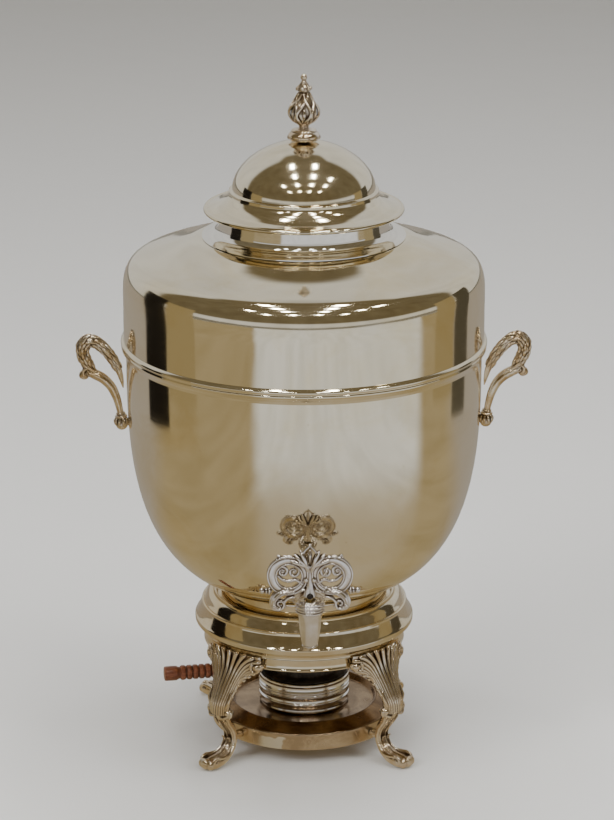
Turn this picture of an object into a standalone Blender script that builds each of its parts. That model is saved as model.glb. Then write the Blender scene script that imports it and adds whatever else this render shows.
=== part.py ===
"""Banquet coffee urn on a burner stand: a silver-plated tank with a lid, a tap and an alcohol burner.

Lengths are in millimetres here and become metres in the meshes. +Z is up and the tap faces -Y. All
shapes are drawn about the urn's own axis, and the empty "urn_axis" carries them to their place.
"""

import math

import bmesh
import bpy
from mathutils import Matrix, Vector

MM = 0.001
GAP = 0.3
SHEET = 1.2
STEPS = 32
SMALL_STEPS = 16

AXIS_Y = 15.9

# Tank
BODY_R = 148.1
BOWL_R = 146.5
BOWL_TOP_Z = 337.0
BOWL_DEPTH = 205.0
BOWL_POWER = 3.0
BOWL_FLAT_R = 42.0
BAND_Z = 345.0
SHOULDER = [
    (72.0, 437.6), (79.0, 437.2), (85.0, 436.0), (91.0, 433.9), (97.0, 431.2), (103.0, 428.6), (110.0, 425.9),
    (118.0, 423.3), (126.0, 421.0), (133.0, 418.8), (139.0, 416.4), (143.4, 412.6), (146.4, 406.6),
    (BODY_R, 396.0),
]
NECK_R = 69.5
NECK_BORE_R = 66.0
NECK_TOP_Z = 461.8
FOOT_R = 70.0
FOOT_WALL = 4.0
NECK_FOOT_R = 82.6
NECK_SEAT_Z = 438.0
BAND_R = 150.6
TAP_HOLE_R = 6.6
STUD_HOLE_R = 2.9

# Lid
LID_RIM_R = 81.5
LID_RIM_Z = 457.0
DOME_R = 58.5
DOME_Z = 474.0
DOME_RISE = 39.0
DOME_POINT = 2.2
FINIAL_TOP_Z = 570.0

# Tap
TAP_Y = -170.0
TAP_SHANK_Z = 166.0
TAP_TAIL_Y = -84.0
TAP_COLLAR_R = 11.6
KEY_LOOP_X = 18.5
KEY_LOOP_Z = 206.5
KEY_LOOP_RX = 13.0
KEY_LOOP_RZ = 15.2

# Handles
HANDLE_STUD_Z = 277.0

# Stand
CREST_R = 77.0
CREST_Z = 131.0
LEDGE_Z = 127.4
LEDGE_R = 58.0
RIM_R = 91.8
RIM_Z = 106.7
APRON_R = 84.0
APRON_TOP_Z = 98.0
APRON_LOW_Z = 86.5
TRAY_R = 78.0
TRAY_LOW_Z = 14.0
TRAY_EDGE_Z = 27.3
TRAY_LIP_R = 62.0
TRAY_LIP_Z = 32.7
TRAY_FLOOR_Z = 28.0
LEG_ANGLES = {"front_left": 225, "front_right": 315, "back_right": 45, "back_left": 135}
LEG_SCREW_Z = 92.0
TRAY_SCREW_Z = 20.5

# Burner
BURNER_R = 38.5
BURNER_TOP_Z = 55.0
ARM_Z = 59.6
ARM_ANGLE = 189.0
GRIP_R = 6.3
GRIP_START = 74.0
GRIP_END = 120.0


def new_collection(name):
    collection = bpy.data.collections.new(name)
    bpy.context.scene.collection.children.link(collection)
    return collection


for old in list(bpy.data.objects):
    bpy.data.objects.remove(old, do_unlink=True)

PARTS = new_collection("coffee_urn")
CUTTERS = new_collection("cutters")
AXIS = bpy.data.objects.new("urn_axis", None)
AXIS.location = (0, AXIS_Y * MM, 0)
PARTS.objects.link(AXIS)
KEY_PIVOT = bpy.data.objects.new("key_pivot", None)
KEY_PIVOT.location = (0, TAP_Y * MM, 0)
KEY_PIVOT.parent = AXIS
PARTS.objects.link(KEY_PIVOT)


def make_material(name, color, metallic, roughness):
    material = bpy.data.materials.new(name)
    material.use_nodes = True
    shader = material.node_tree.nodes["Principled BSDF"]
    shader.inputs["Base Color"].default_value = (*color, 1)
    shader.inputs["Metallic"].default_value = metallic
    shader.inputs["Roughness"].default_value = roughness
    material.diffuse_color = (*color, 1)
    return material


LOOKS = {
    "silver": ((0.80, 0.74, 0.62), 1.0, 0.08),
    "cast": ((0.72, 0.64, 0.50), 1.0, 0.22),
    "brass": ((0.62, 0.48, 0.24), 1.0, 0.30),
    "steel": ((0.55, 0.54, 0.52), 1.0, 0.35),
    "soot": ((0.05, 0.045, 0.04), 0.6, 0.55),
    "wick": ((0.62, 0.58, 0.50), 0.0, 0.95),
    "rubber": ((0.06, 0.05, 0.05), 0.0, 0.70),
    "wood": ((0.24, 0.08, 0.04), 0.0, 0.40),
}


def finish(obj, look, smooth=True):
    """Gives a part its own material, and its place in the collection and on the urn's axis."""
    PARTS.objects.link(obj)
    obj.parent = AXIS
    obj.data.materials.append(make_material(obj.name, *LOOKS[look]))
    if smooth and obj.type == "MESH":
        obj.data.shade_smooth()
        obj.data.set_sharp_from_angle(angle=math.radians(35))
    return obj


def hide(obj):
    """Makes an object a cutter, or a helper that another part takes its shape from."""
    CUTTERS.objects.link(obj)
    obj.parent = AXIS
    obj.hide_render = True
    obj.display_type = "WIRE"
    return obj


def profile_object(name, points, closed, steps):
    """An outline in the XZ plane, turned about Z. Its outer side runs from top to bottom."""
    mesh = bpy.data.meshes.new(name)
    verts = [(r * MM, 0, z * MM) for r, z in points]
    edges = [(i, (i + 1) % len(points)) for i in range(len(points) if closed else len(points) - 1)]
    edges = [(a, b) for a, b in edges if points[a][0] > 0 or points[b][0] > 0]
    mesh.from_pydata(verts, edges, [])
    obj = bpy.data.objects.new(name, mesh)
    screw = obj.modifiers.new("turn", "SCREW")
    screw.steps = steps
    screw.render_steps = steps
    screw.use_merge_vertices = True
    screw.merge_threshold = 0.00001
    screw.use_smooth_shade = True
    return obj


def turned(name, points, look, closed=True, steps=STEPS):
    return finish(profile_object(name, points, closed, steps), look)


def turned_cutter(name, points, closed=False, steps=STEPS):
    return hide(profile_object(name, points, closed, steps))


def place(obj, location, direction=(0, 0, 1)):
    """Puts an object at a point in millimetres, with its Z axis along the direction."""
    obj.location = Vector(location) * MM
    obj.rotation_euler = Vector(direction).to_track_quat("Z", "Y").to_euler()
    return obj


def rod_mesh(name, radius, length, sides, bore=0.0):
    """A cylinder from z = 0 to its length, or a tube if it has a bore."""
    if bore:
        ring = [(radius, length), (radius, 0), (bore, 0), (bore, length)]
        return profile_object(name, ring, True, sides)
    ends = [(0, length), (radius, length), (radius, 0), (0, 0)]
    return profile_object(name, ends, False, sides)


def rod(name, radius, length, look, location, direction, sides=12, bore=0.0):
    return place(finish(rod_mesh(name, radius, length, sides, bore), look), location, direction)


def rod_cutter(name, radius, length, location, direction, sides=12):
    return place(hide(rod_mesh(name, radius, length, sides)), location, direction)


def ball_helper(name, radius, location, scale=(1, 1, 1), sides=12):
    mesh = bpy.data.meshes.new(name)
    shape = bmesh.new()
    size = Matrix.Diagonal((*(s * radius * MM for s in scale), 1))
    bmesh.ops.create_uvsphere(shape, u_segments=sides, v_segments=sides // 2, radius=1, matrix=size)
    shape.to_mesh(mesh)
    shape.free()
    return place(hide(bpy.data.objects.new(name, mesh)), location)


def smooth_path(points, per_span=4):
    """A Catmull-Rom curve through the points, each (x, y, z, radius)."""
    rows = [Vector(p) for p in points]
    rows = [2 * rows[0] - rows[1], *rows, 2 * rows[-1] - rows[-2]]
    path = []
    for a, b, c, d in zip(rows, rows[1:], rows[2:], rows[3:]):
        for k in range(per_span):
            t = k / per_span
            path.append(
                0.5 * (2 * b + (c - a) * t + (2 * a - 5 * b + 4 * c - d) * t * t
                       + (3 * b - a - 3 * c + d) * t ** 3)
            )
    path.append(rows[-2])
    return path


def tube_object(name, path, cyclic=False):
    """A round tube along (x, y, z, radius) points, as a closed mesh with its caps welded."""
    curve = bpy.data.curves.new(name + "_line", "CURVE")
    curve.dimensions = "3D"
    curve.bevel_depth = MM
    curve.bevel_resolution = 2
    curve.use_fill_caps = not cyclic
    spline = curve.splines.new("POLY")
    spline.points.add(len(path) - 1)
    for point, (x, y, z, radius) in zip(spline.points, path):
        point.co = (x * MM, y * MM, z * MM, 1)
        point.radius = radius
    spline.use_cyclic_u = cyclic
    line = bpy.data.objects.new(name + "_line", curve)
    bpy.context.scene.collection.objects.link(line)
    bpy.context.view_layer.update()
    mesh = bpy.data.meshes.new_from_object(line.evaluated_get(bpy.context.evaluated_depsgraph_get()))
    shape = bmesh.new()
    shape.from_mesh(mesh)
    bmesh.ops.remove_doubles(shape, verts=shape.verts, dist=0.00001)
    bmesh.ops.recalc_face_normals(shape, faces=shape.faces)
    shape.to_mesh(mesh)
    shape.free()
    mesh.name = name
    obj = bpy.data.objects.new(name, mesh)
    obj.matrix_world = line.matrix_world
    bpy.data.objects.remove(line, do_unlink=True)
    return obj


def boolean(obj, other, operation):
    modifier = obj.modifiers.new(operation.lower() + "_" + other.name, "BOOLEAN")
    modifier.operation = operation
    modifier.object = other


def cut(obj, *others):
    for other in others:
        boolean(obj, other, "DIFFERENCE")


def unite(obj, *others):
    for other in others:
        boolean(obj, other, "UNION")


def polar(angle, radius, z=0.0):
    a = math.radians(angle)
    return Vector((radius * math.cos(a), radius * math.sin(a), z))


def bowl_radius(z):
    drop = max(0.0, BOWL_TOP_Z - z) / BOWL_DEPTH
    return BOWL_R * (1 - min(drop, 1.0) ** BOWL_POWER) ** (1 / BOWL_POWER)


def bowl_curve(offset, points=9):
    """The bowl's side from top to bottom, moved outwards by the offset."""
    last = math.acos((BOWL_FLAT_R / BOWL_R) ** (BOWL_POWER / 2))
    curve = []
    for k in range(points):
        turn = last * k / (points - 1)
        r = BOWL_R * math.cos(turn) ** (2 / BOWL_POWER)
        z = BOWL_TOP_Z - BOWL_DEPTH * math.sin(turn) ** (2 / BOWL_POWER)
        slope_r = BOWL_DEPTH * r ** (BOWL_POWER - 1) / BOWL_R ** BOWL_POWER
        slope_z = ((BOWL_TOP_Z - z) / BOWL_DEPTH) ** (BOWL_POWER - 1)
        normal = Vector((slope_r, -slope_z)).normalized()
        curve.append((r + offset * normal.x, z + offset * normal.y))
    return curve


def bowl_point(z):
    """A point on the front of the bowl's outside at a height, and the direction out of the wall there."""
    r = bowl_radius(z)
    slope_r = BOWL_DEPTH * r ** (BOWL_POWER - 1) / BOWL_R ** BOWL_POWER
    slope_z = ((BOWL_TOP_Z - z) / BOWL_DEPTH) ** (BOWL_POWER - 1)
    return Vector((0, -r, z)), Vector((0, -slope_r, -slope_z)).normalized()


def bowl_solid(name, offset):
    """A solid of the bowl's outside, moved outwards by the offset, for cutting what lies against it."""
    side = bowl_curve(offset)
    return turned_cutter(name, [(0, BAND_Z), (side[0][0], BAND_Z), *side, (0, side[-1][1])])


def inner_side(outline, thickness):
    """The inner face of a sheet whose outer face runs from top to bottom along the outline."""
    inside = []
    for k, point in enumerate(outline):
        before, after = outline[max(k - 1, 0)], outline[min(k + 1, len(outline) - 1)]
        inward = Vector((after[1] - before[1], before[0] - after[0])).normalized()
        inside.append((point[0] + thickness * inward.x, point[1] + thickness * inward.y))
    return inside


def make_tank():
    outer, inner = bowl_curve(0), bowl_curve(-SHEET)
    bowl = turned(
        "urn_bowl",
        [(BOWL_R, BAND_Z - GAP), *outer, (0, outer[-1][1]), (0, inner[-1][1]),
         *reversed(inner), (BOWL_R - SHEET, BAND_Z - GAP)],
        "silver",
    )
    cut(
        bowl,
        rod_cutter("stud_holes", STUD_HOLE_R, 320, (-160, 0, HANDLE_STUD_Z), (1, 0, 0)),
        rod_cutter("tap_hole", TAP_HOLE_R, 50, (0, -140, TAP_SHANK_Z), (0, 1, 0), 16),
    )
    inside = inner_side(SHOULDER, SHEET)
    turned(
        "urn_shoulder",
        [*SHOULDER, (BODY_R, BAND_Z), (BODY_R - SHEET, BAND_Z), *reversed(inside)],
        "silver",
    )
    turned(
        "body_band",
        [(BODY_R + GAP, BAND_Z + 5.5), (BAND_R - 0.8, BAND_Z + 4.2), (BAND_R, BAND_Z + 1.8),
         (149.6, BAND_Z - 0.4), (150.0, BAND_Z - 2.6), (149.2, BAND_Z - 5.0), (BODY_R + GAP, BAND_Z - 5.5)],
        "silver",
    )
    turned(
        "neck_ring",
        [(NECK_BORE_R, NECK_TOP_Z), (NECK_R - 0.6, NECK_TOP_Z), (NECK_R, NECK_TOP_Z - 0.8), (NECK_R, 447.0),
         (70.4, 443.4), (72.8, 440.6), (77.2, 438.7), (NECK_FOOT_R, 437.7), (NECK_FOOT_R, 437.0),
         (78.6, NECK_SEAT_Z - 0.2), (NECK_BORE_R, NECK_SEAT_Z)],
        "silver",
    )
    turned(
        "foot_ring",
        [(FOOT_R - FOOT_WALL, 137.9), (FOOT_R, 139.3), (FOOT_R, LEDGE_Z + 0.5),
         (FOOT_R - FOOT_WALL, LEDGE_Z + 0.5)],
        "silver",
    )


def make_handle(side):
    """A cast scroll: a smooth arm from the boss, out to a knob, and a leafy branch back to the wall."""
    word = "right" if side > 0 else "left"
    arm = [(151.6, 282, 2.4), (153.4, 291, 2.6), (156.6, 304, 3.2), (163, 314, 3.6), (171, 319.4, 3.4),
           (177.6, 322, 3.0)]
    leaf = [(174.6, 322.8, 3.2), (181, 331, 4.0), (183.4, 340, 4.2), (178.4, 346.4, 4.2),
            (169.6, 343.4, 3.8), (160.8, 336, 3.6), (154.4, 327, 3.3), (150.6, 317, 2.3), (149.3, 308, 1.1)]
    arm, leaf = ([(side * x, 0, z, r) for x, z, r in line] for line in (arm, leaf))
    handle = finish(tube_object("handle_" + word, smooth_path(arm, 1)), "cast")
    branch = hide(tube_object("leaf_" + word, smooth_path(leaf, 1)))
    stud = rod_cutter("stud_" + word, 2.5, 18, (side * 153, 0, HANDLE_STUD_Z), (-side, 0, 0), 10)
    boss = ball_helper("boss_" + word, 5.6, (side * 151.4, 0, HANDLE_STUD_Z))
    collar = ball_helper("collar_" + word, 4.6, (side * 151.8, 0, 284.4), (1, 1, 0.6))
    knob = ball_helper("knob_" + word, 4.6, (side * 182.2, 0, 318.6))
    unite(handle, branch, boss, collar, knob, stud)
    cut(handle, wall_space("handle_wall_" + word))
    unite(handle, rod_cutter("stud_end_" + word, 2.5, 18, (side * 153, 0, HANDLE_STUD_Z), (-side, 0, 0), 10))
    inner = side * 142.2
    rod("handle_washer_" + word, 7, 1.4, "steel", (inner, 0, HANDLE_STUD_Z), (-side, 0, 0), 16, 2.8)
    nut_at = (inner - side * 1.7, 0, HANDLE_STUD_Z)
    rod("handle_nut_" + word, 4.6, 3.2, "brass", nut_at, (-side, 0, 0), 6, 3.3)


def wall_space(name):
    """The space that the tank's wall takes, between two heights."""
    z_low, z_high = 262.0, 336.5
    return turned_cutter(name, [
        (0, z_high), (bowl_radius(z_high) + GAP, z_high), (bowl_radius(300) + GAP, 300),
        (bowl_radius(280) + GAP, 280), (bowl_radius(z_low) + GAP, z_low), (0, z_low),
    ], steps=96)


def make_lid():
    outside, inside = [], []
    for k in range(7):
        turn = math.radians(87 - 87 * k / 6)
        point = DOME_Z + DOME_POINT * math.sin(turn) ** 4
        outside.append((DOME_R * math.cos(turn), point + DOME_RISE * math.sin(turn)))
        inside.append(((DOME_R - SHEET) * math.cos(turn), point + (DOME_RISE - SHEET) * math.sin(turn)))
    flare = [(60.6, 471.4), (65.0, 467.0), (71.5, 463.2), (78.0, 460.8), (LID_RIM_R - 0.6, 459.4)]
    rim = [(LID_RIM_R, LID_RIM_Z + 1), (LID_RIM_R - 0.8, LID_RIM_Z), (LID_RIM_R - 2.4, LID_RIM_Z + 0.4)]
    under = [(r - 0.5, z - SHEET) for r, z in reversed(flare[:-1])]
    hole = 2.4
    turned(
        "lid_shell",
        [(hole, outside[0][1]), *outside[1:], *flare, *rim, *under, *reversed(inside[1:]),
         (hole, inside[0][1])],
        "silver",
    )
    collar_top = 463.2
    turned(
        "lid_collar",
        [(63.3, collar_top), (64.6, collar_top - 0.6), (64.6, 441), (63.3, 441)],
        "silver",
    )
    base = outside[0][1] + GAP + 0.2
    turned(
        "finial",
        [(0, FINIAL_TOP_Z), (2.4, 568.8), (2.9, 566.6), (2.5, 563.6), (3.9, 560.6), (6.8, 558.4),
         (5.6, 554.6), (10.0, 549), (13.8, 541), (12.4, 534.6), (6.8, 529), (5.4, 526.6), (10.6, 523.4),
         (12.8, 520), (11, 517.4), (8.4, base), (2.1, base), (2.1, 497), (0, 497)],
        "cast", closed=False, steps=16,
    )
    turned(
        "finial_nut",
        [(2.8, 512.1), (5.4, 512.1), (5.4, 507.6), (2.8, 507.6)],
        "brass", steps=6,
    )
    turned(
        "finial_washer",
        [(2.4, 513.1), (8.0, 513.1), (8.0, 512.4), (2.4, 512.4)],
        "steel", steps=16,
    )


def make_tap():
    """The tap's body: a saddle flange, a shank through the wall, and the taper seat with its nozzle."""
    tap = turned(
        "faucet_body",
        [(TAP_COLLAR_R, 178.6), (TAP_COLLAR_R, 173.6), (9.6, 171.6), (8.6, 158), (6.2, 146.4), (5.4, 145.4),
         (3.6, 145.4), (3.6, 154), (5.2, 156.4), (8.2, 178.6)],
        "cast", steps=SMALL_STEPS,
    )
    tap.location = (0, TAP_Y * MM, 0)
    shank = rod_cutter("shank", 6.3, TAP_TAIL_Y - TAP_Y - 6, (0, TAP_Y + 6, TAP_SHANK_Z), (0, 1, 0), 16)
    swell = ball_helper("shank_swell", 7.2, (0, -148, TAP_SHANK_Z), (1, 0.7, 1), 16)
    wall, outward = bowl_point(TAP_SHANK_Z)
    flange = hide(profile_object(
        "flange", [(0, 6), (11, 6), (15, 3.4), (15, -6), (0, -6)], False, SMALL_STEPS))
    place(flange, wall, outward)
    cut(flange, bowl_solid("flange_face", 1.7))
    bore = rod_cutter("shank_bore", 3.6, 100, (0, TAP_Y + 2, TAP_SHANK_Z), (0, 1, 0), 12)
    seat = turned_cutter(
        "taper_seat", [(0, 190), (8.2, 190), (8.2, 178.7), (5.2, 156.3), (3.6, 154), (3.6, 140), (0, 140)],
        steps=SMALL_STEPS,
    )
    seat.location = (0, TAP_Y * MM, 0)
    unite(tap, shank, swell, flange)
    cut(tap, seat, bore)

    hole = rod_cutter("shank_clearance", TAP_HOLE_R, 80, (0, -150, TAP_SHANK_Z), (0, 1, 0), 16)
    gasket = rod("faucet_gasket", 15.5, 12, "rubber", wall - 6 * outward, outward, SMALL_STEPS)
    boolean(gasket, bowl_solid("gasket_out", 1.4), "INTERSECT")
    cut(gasket, bowl_solid("gasket_in", 0.3), hole)
    wedge = rod("faucet_wedge", 11, 31, "steel", (0, -124, TAP_SHANK_Z), (0, 1, 0), SMALL_STEPS)
    boolean(wedge, bowl_solid("wedge_face", -SHEET - 0.5), "INTERSECT")
    cut(wedge, hole)
    rod("faucet_lock_nut", 12, 5, "brass", (0, -92.6, TAP_SHANK_Z), (0, 1, 0), 6, 7.7)

    plug = turned(
        "faucet_plug",
        [(0, 187), (3.2, 187), (3.2, 183), (7.6, 178.2), (4.9, 157.0), (3.6, 156.8), (3.6, 170), (0, 170)],
        "brass", closed=False, steps=SMALL_STEPS,
    )
    port = rod_cutter("plug_port", 2.8, 12, (0, 0, TAP_SHANK_Z), (0, 1, 0), 12)
    cut(plug, port)
    for obj in (plug, port):
        obj.parent = KEY_PIVOT
    bonnet = turned(
        "faucet_bonnet",
        [(4.6, 184.6), (9.8, 184.0), (12.2, 181.6), (12.2, 178.9), (9.0, 178.9), (4.6, 182.2)],
        "cast", steps=SMALL_STEPS,
    )
    bonnet.location = (0, TAP_Y * MM, 0)


def key_loop(name, side):
    count = 14
    path = []
    for k in range(count):
        turn = 2 * math.pi * k / count
        thick = 3.3 + 0.5 * math.cos(turn)
        path.append((
            side * (KEY_LOOP_X + KEY_LOOP_RX * math.cos(turn)), 0,
            KEY_LOOP_Z + KEY_LOOP_RZ * math.sin(turn), thick,
        ))
    return tube_object(name, path, cyclic=True)


def make_key():
    """The tap's pierced key: two loops, a palmette above, a cross bar with knobs and two lower scrolls."""
    key = finish(key_loop("faucet_key", -1), "cast")
    pieces = [hide(key_loop("loop_right", 1))]
    pieces.append(ball_helper("palmette", 8.6, (0, 0, 221), (0.9, 0.5, 1.2)))
    post = [(0, 0, 222, 4.0), (0, 0, 204, 3.8), (0, 0, 194, 4.2), (0, 0, 187.6, 5.2)]
    pieces.append(hide(tube_object("post", post)))
    pieces.append(rod_cutter("spindle", 2.1, 76, (-38, 0, 192), (1, 0, 0), 10))
    for side in (-1, 1):
        pieces.append(ball_helper(f"spindle_knob_{side}", 3.0, (side * 37.4, 0, 192), (1, 1, 1), 10))
        scroll = [(16, 191.5, 2.4), (23, 188, 2.8), (27, 182.6, 2.8), (25.4, 177.2, 2.5), (21.6, 176.8, 1.8)]
        scroll = [(side * x, 0, z, r) for x, z, r in scroll]
        pieces.append(hide(tube_object(f"scroll_{side}", smooth_path(scroll, 1))))
    unite(key, *pieces)
    for obj in (key, *pieces):
        obj.parent = KEY_PIVOT
    head = turned(
        "key_screw",
        [(0, 3.6), (1.7, 3.1), (2.9, 1.6), (2.6, 0.3), (1.4, 0), (0, 0)],
        "soot", closed=False, steps=10,
    )
    place(head, (0, -5.0, 190.5), (0, -1, 0))
    head.parent = KEY_PIVOT


def leg_sections():
    """(radius, height, half width, half depth) down the leg's middle line, from the apron to the toe."""
    return [
        (87.0, 97.5, 27.0, 2.0), (87.2, 91.0, 28.4, 2.4), (88.4, 83.0, 23.6, 3.2), (91.6, 75.0, 16.2, 3.8),
        (96.0, 66.0, 12.0, 4.0), (100.0, 57.0, 11.0, 4.4), (101.0, 48.0, 11.4, 4.6), (96.4, 38.0, 7.4, 4.8),
        (90.4, 29.0, 5.6, 4.4), (88.6, 20.0, 5.6, 4.2), (93.0, 11.0, 6.2, 4.4), (101.0, 5.4, 7.2, 4.6),
        (107.5, 4.0, 8.2, 4.6), (114.0, 4.0, 8.4, 4.6), (119.6, 5.4, 7.0, 4.0),
    ]


def leg_mesh(name):
    """A cast leg, lofted through its sections, each wrapped round the stand's axis."""
    rows = leg_sections()
    shape = bmesh.new()
    rings = []
    for i, (r, z, half, depth) in enumerate(rows):
        before, after = rows[max(i - 1, 0)], rows[min(i + 1, len(rows) - 1)]
        along = Vector((after[0] - before[0], after[1] - before[1])).normalized()
        out = Vector((-along.y, along.x))
        if i == 0 or out.x < 0 and i < 4:
            out = Vector((1, 0))
        ring = []
        for across, deep in ((-1, -0.5), (-1, 0.3), (-0.55, 1), (0, 1.25), (0.55, 1), (1, 0.3), (1, -0.5),
                             (0.5, -1), (-0.5, -1)):
            point = Vector((r, z)) + out * (deep * depth)
            turn = across * half / r
            height = max(point.y, 0.0)
            ring.append(shape.verts.new((
                point.x * math.cos(turn) * MM, point.x * math.sin(turn) * MM, height * MM)))
        rings.append(ring)
    for a, b in zip(rings, rings[1:]):
        for j in range(len(a)):
            k = (j + 1) % len(a)
            shape.faces.new((a[j], a[k], b[k], b[j]))
    shape.faces.new(rings[0])
    shape.faces.new(rings[-1])
    bmesh.ops.recalc_face_normals(shape, faces=shape.faces)
    mesh = bpy.data.meshes.new(name)
    shape.to_mesh(mesh)
    shape.free()
    return mesh


def make_stand():
    turned(
        "stand_drum",
        [(CREST_R - 4, CREST_Z - 0.6), (CREST_R - 1, CREST_Z), (CREST_R + 1.4, CREST_Z - 0.6),
         (82.0, 126.0), (84.6, 121.6), (86.0, 120.4), (88.6, 114.6), (90.4, 110.4), (RIM_R, RIM_Z + 1.6),
         (RIM_R, RIM_Z - 1.8), (89.6, 102.4), (87.0, 100.8), (APRON_R + 1.6, APRON_TOP_Z + 1.6),
         (82.6, APRON_TOP_Z + GAP), (81.2, APRON_TOP_Z + GAP), (84.4, 102.0), (87.6, 104.4), (88.8, 108.0),
         (85.4, 115.6), (80.4, 124.6), (75.4, 129.4), (73.6, 128.2), (73.2, 126.0), (LEDGE_R, LEDGE_Z - 1.4),
         (LEDGE_R, LEDGE_Z), (71.8, LEDGE_Z + 0.2)],
        "silver",
    )
    apron = turned(
        "stand_apron",
        [(APRON_R - 1.6, APRON_TOP_Z), (APRON_R, APRON_TOP_Z), (APRON_R, APRON_LOW_Z),
         (APRON_R - 1.6, APRON_LOW_Z)],
        "silver",
    )
    tray = turned(
        "burner_tray",
        [(0, TRAY_FLOOR_Z), (TRAY_LIP_R - 2.4, TRAY_FLOOR_Z), (TRAY_LIP_R - 1.6, TRAY_LIP_Z - 0.8),
         (TRAY_LIP_R, TRAY_LIP_Z), (TRAY_LIP_R + 2, TRAY_LIP_Z - 0.6), (74.0, 29.4),
         (TRAY_R - 1.0, TRAY_EDGE_Z + 0.6), (TRAY_R, TRAY_EDGE_Z - 1), (TRAY_R, TRAY_LOW_Z),
         (TRAY_R - 1.5, TRAY_LOW_Z), (TRAY_R - 1.5, 25.8), (73.4, 27.8), (TRAY_LIP_R + 1, 30.6),
         (TRAY_LIP_R - 0.6, 26.6), (0, 26.6)],
        "silver", closed=False,
    )
    for name, angle in LEG_ANGLES.items():
        leg = finish(bpy.data.objects.new("leg_" + name, leg_mesh("leg_" + name)), "cast")
        leg.rotation_euler = (0, 0, math.radians(angle))
        out = polar(angle, 1)
        lug = rod_cutter("lug_" + name, 3.6, 9.6, polar(angle, TRAY_R + GAP, TRAY_SCREW_Z), out, 12)
        unite(leg, lug)
        cut(
            leg,
            turned_cutter("leg_clear_" + name, [
                (0, 99), (APRON_R + GAP, 99), (APRON_R + GAP, 60), (0, 60)], steps=64),
            rod_cutter("leg_pocket_" + name, 1.8, 5, polar(angle, 82, LEG_SCREW_Z), out, 10),
            rod_cutter("lug_pocket_" + name, 1.8, 9, polar(angle, 75, TRAY_SCREW_Z), out, 10),
        )
        cut(apron, rod_cutter("apron_hole_" + name, 1.8, 8, polar(angle, 79, LEG_SCREW_Z), out, 10))
        cut(tray, rod_cutter("tray_hole_" + name, 1.8, 8, polar(angle, 74, TRAY_SCREW_Z), out, 10))
        make_screw("leg_screw_" + name, angle, APRON_R - 1.6, LEG_SCREW_Z, 4.2)
        make_screw("tray_screw_" + name, angle, TRAY_R - 1.5, TRAY_SCREW_Z, 5.6)


def make_screw(name, angle, wall, z, reach):
    """A pan-head screw, put in from the inside: its head rests against the wall's inner face."""
    profile = [(0, reach), (1.5, reach), (1.5, -0.45), (3.4, -0.45), (3.4, -1.6), (2.2, -2.4), (0, -2.6)]
    screw = turned(name, profile, "brass", closed=False, steps=8)
    place(screw, polar(angle, wall, z), polar(angle, 1))


def make_burner():
    ribs = []
    for low in (32.4, 37.6, 42.8, 48.0):
        ribs += [(BURNER_R - 0.9, low + 4.2), (BURNER_R, low + 3.2), (BURNER_R, low + 1.4)]
    ribs.sort(key=lambda point: -point[1])
    floor = TRAY_FLOOR_Z + GAP
    turned(
        "burner_cup",
        [(BURNER_R - 1.4, BURNER_TOP_Z), (BURNER_R - 0.2, BURNER_TOP_Z - 0.6), *ribs, (BURNER_R - 1.2, 30.4),
         (BURNER_R - 2.4, floor), (0, floor), (0, floor + 1.4), (BURNER_R - 3.4, floor + 1.4),
         (BURNER_R - 2.6, 32.4), (BURNER_R - 2.6, BURNER_TOP_Z - 0.4)],
        "silver", steps=24,
    )
    turned("burner_wick", [(0, 43), (30, 43), (32, 41), (32, 31), (30, 30.2), (0, 30.2)], "wick",
           closed=False, steps=24)
    turned(
        "burner_top_plate",
        [(35.4, 50.0), (35.4, 48.8), (20.0, 48.8), (20.0, 53.0), (21.4, 53.0), (21.4, 50.0)],
        "soot", steps=24,
    )


def make_regulator():
    """The turning damper: a ring round the flame mouth, with an arm and a turned wooden grip."""
    out = polar(ARM_ANGLE, 1)
    ring = turned(
        "regulator_ring",
        [(21.8, 64.0), (27.6, 64.0), (27.6, 57.6), (36.6, 56.8), (36.6, 55.6), (26.0, 55.6), (26.0, 50.4),
         (21.8, 50.4)],
        "soot", steps=24,
    )
    unite(ring, rod_cutter("arm_socket", 3.6, 8, polar(ARM_ANGLE, 25.6, ARM_Z), out, 12))
    cut(ring, rod_cutter("arm_hole", 2.3, 12, polar(ARM_ANGLE, 26.6, ARM_Z), out, 12))
    rod("regulator_arm", 2.0, GRIP_START - 13.8, "steel", polar(ARM_ANGLE, 27.0, ARM_Z), out, 12)
    rod("grip_ferrule", 5.0, 5.0, "brass", polar(ARM_ANGLE, GRIP_START - 5.6, ARM_Z), out, 16, 2.3)
    length = GRIP_END - GRIP_START
    outline = [(0, length), (GRIP_R - 0.8, length), (GRIP_R, length - 0.8)]
    for k in range(4):
        groove = length - 12 - 5.4 * k
        outline += [(GRIP_R, groove + 1.0), (GRIP_R - 0.9, groove), (GRIP_R, groove - 1.0)]
    outline += [(GRIP_R - 0.4, 6), (GRIP_R - 1.4, 0), (2.3, 0), (2.3, 16), (0, 16)]
    grip = turned("wooden_grip", outline, "wood", closed=False, steps=SMALL_STEPS)
    place(grip, polar(ARM_ANGLE, GRIP_START, ARM_Z), out)


make_tank()
for direction in (-1, 1):
    make_handle(direction)
make_lid()
make_tap()
make_key()
make_stand()
make_burner()
make_regulator()
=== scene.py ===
"""Looks for the silver-plated coffee urn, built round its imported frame.

Shapes are written in millimetres about the urn's own axis, and become metres in the row frame.
"""

from math import acos, copysign, cos, pi, radians, sin

import bmesh
import bpy
import numpy as np
from mathutils import Matrix, Vector


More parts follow.
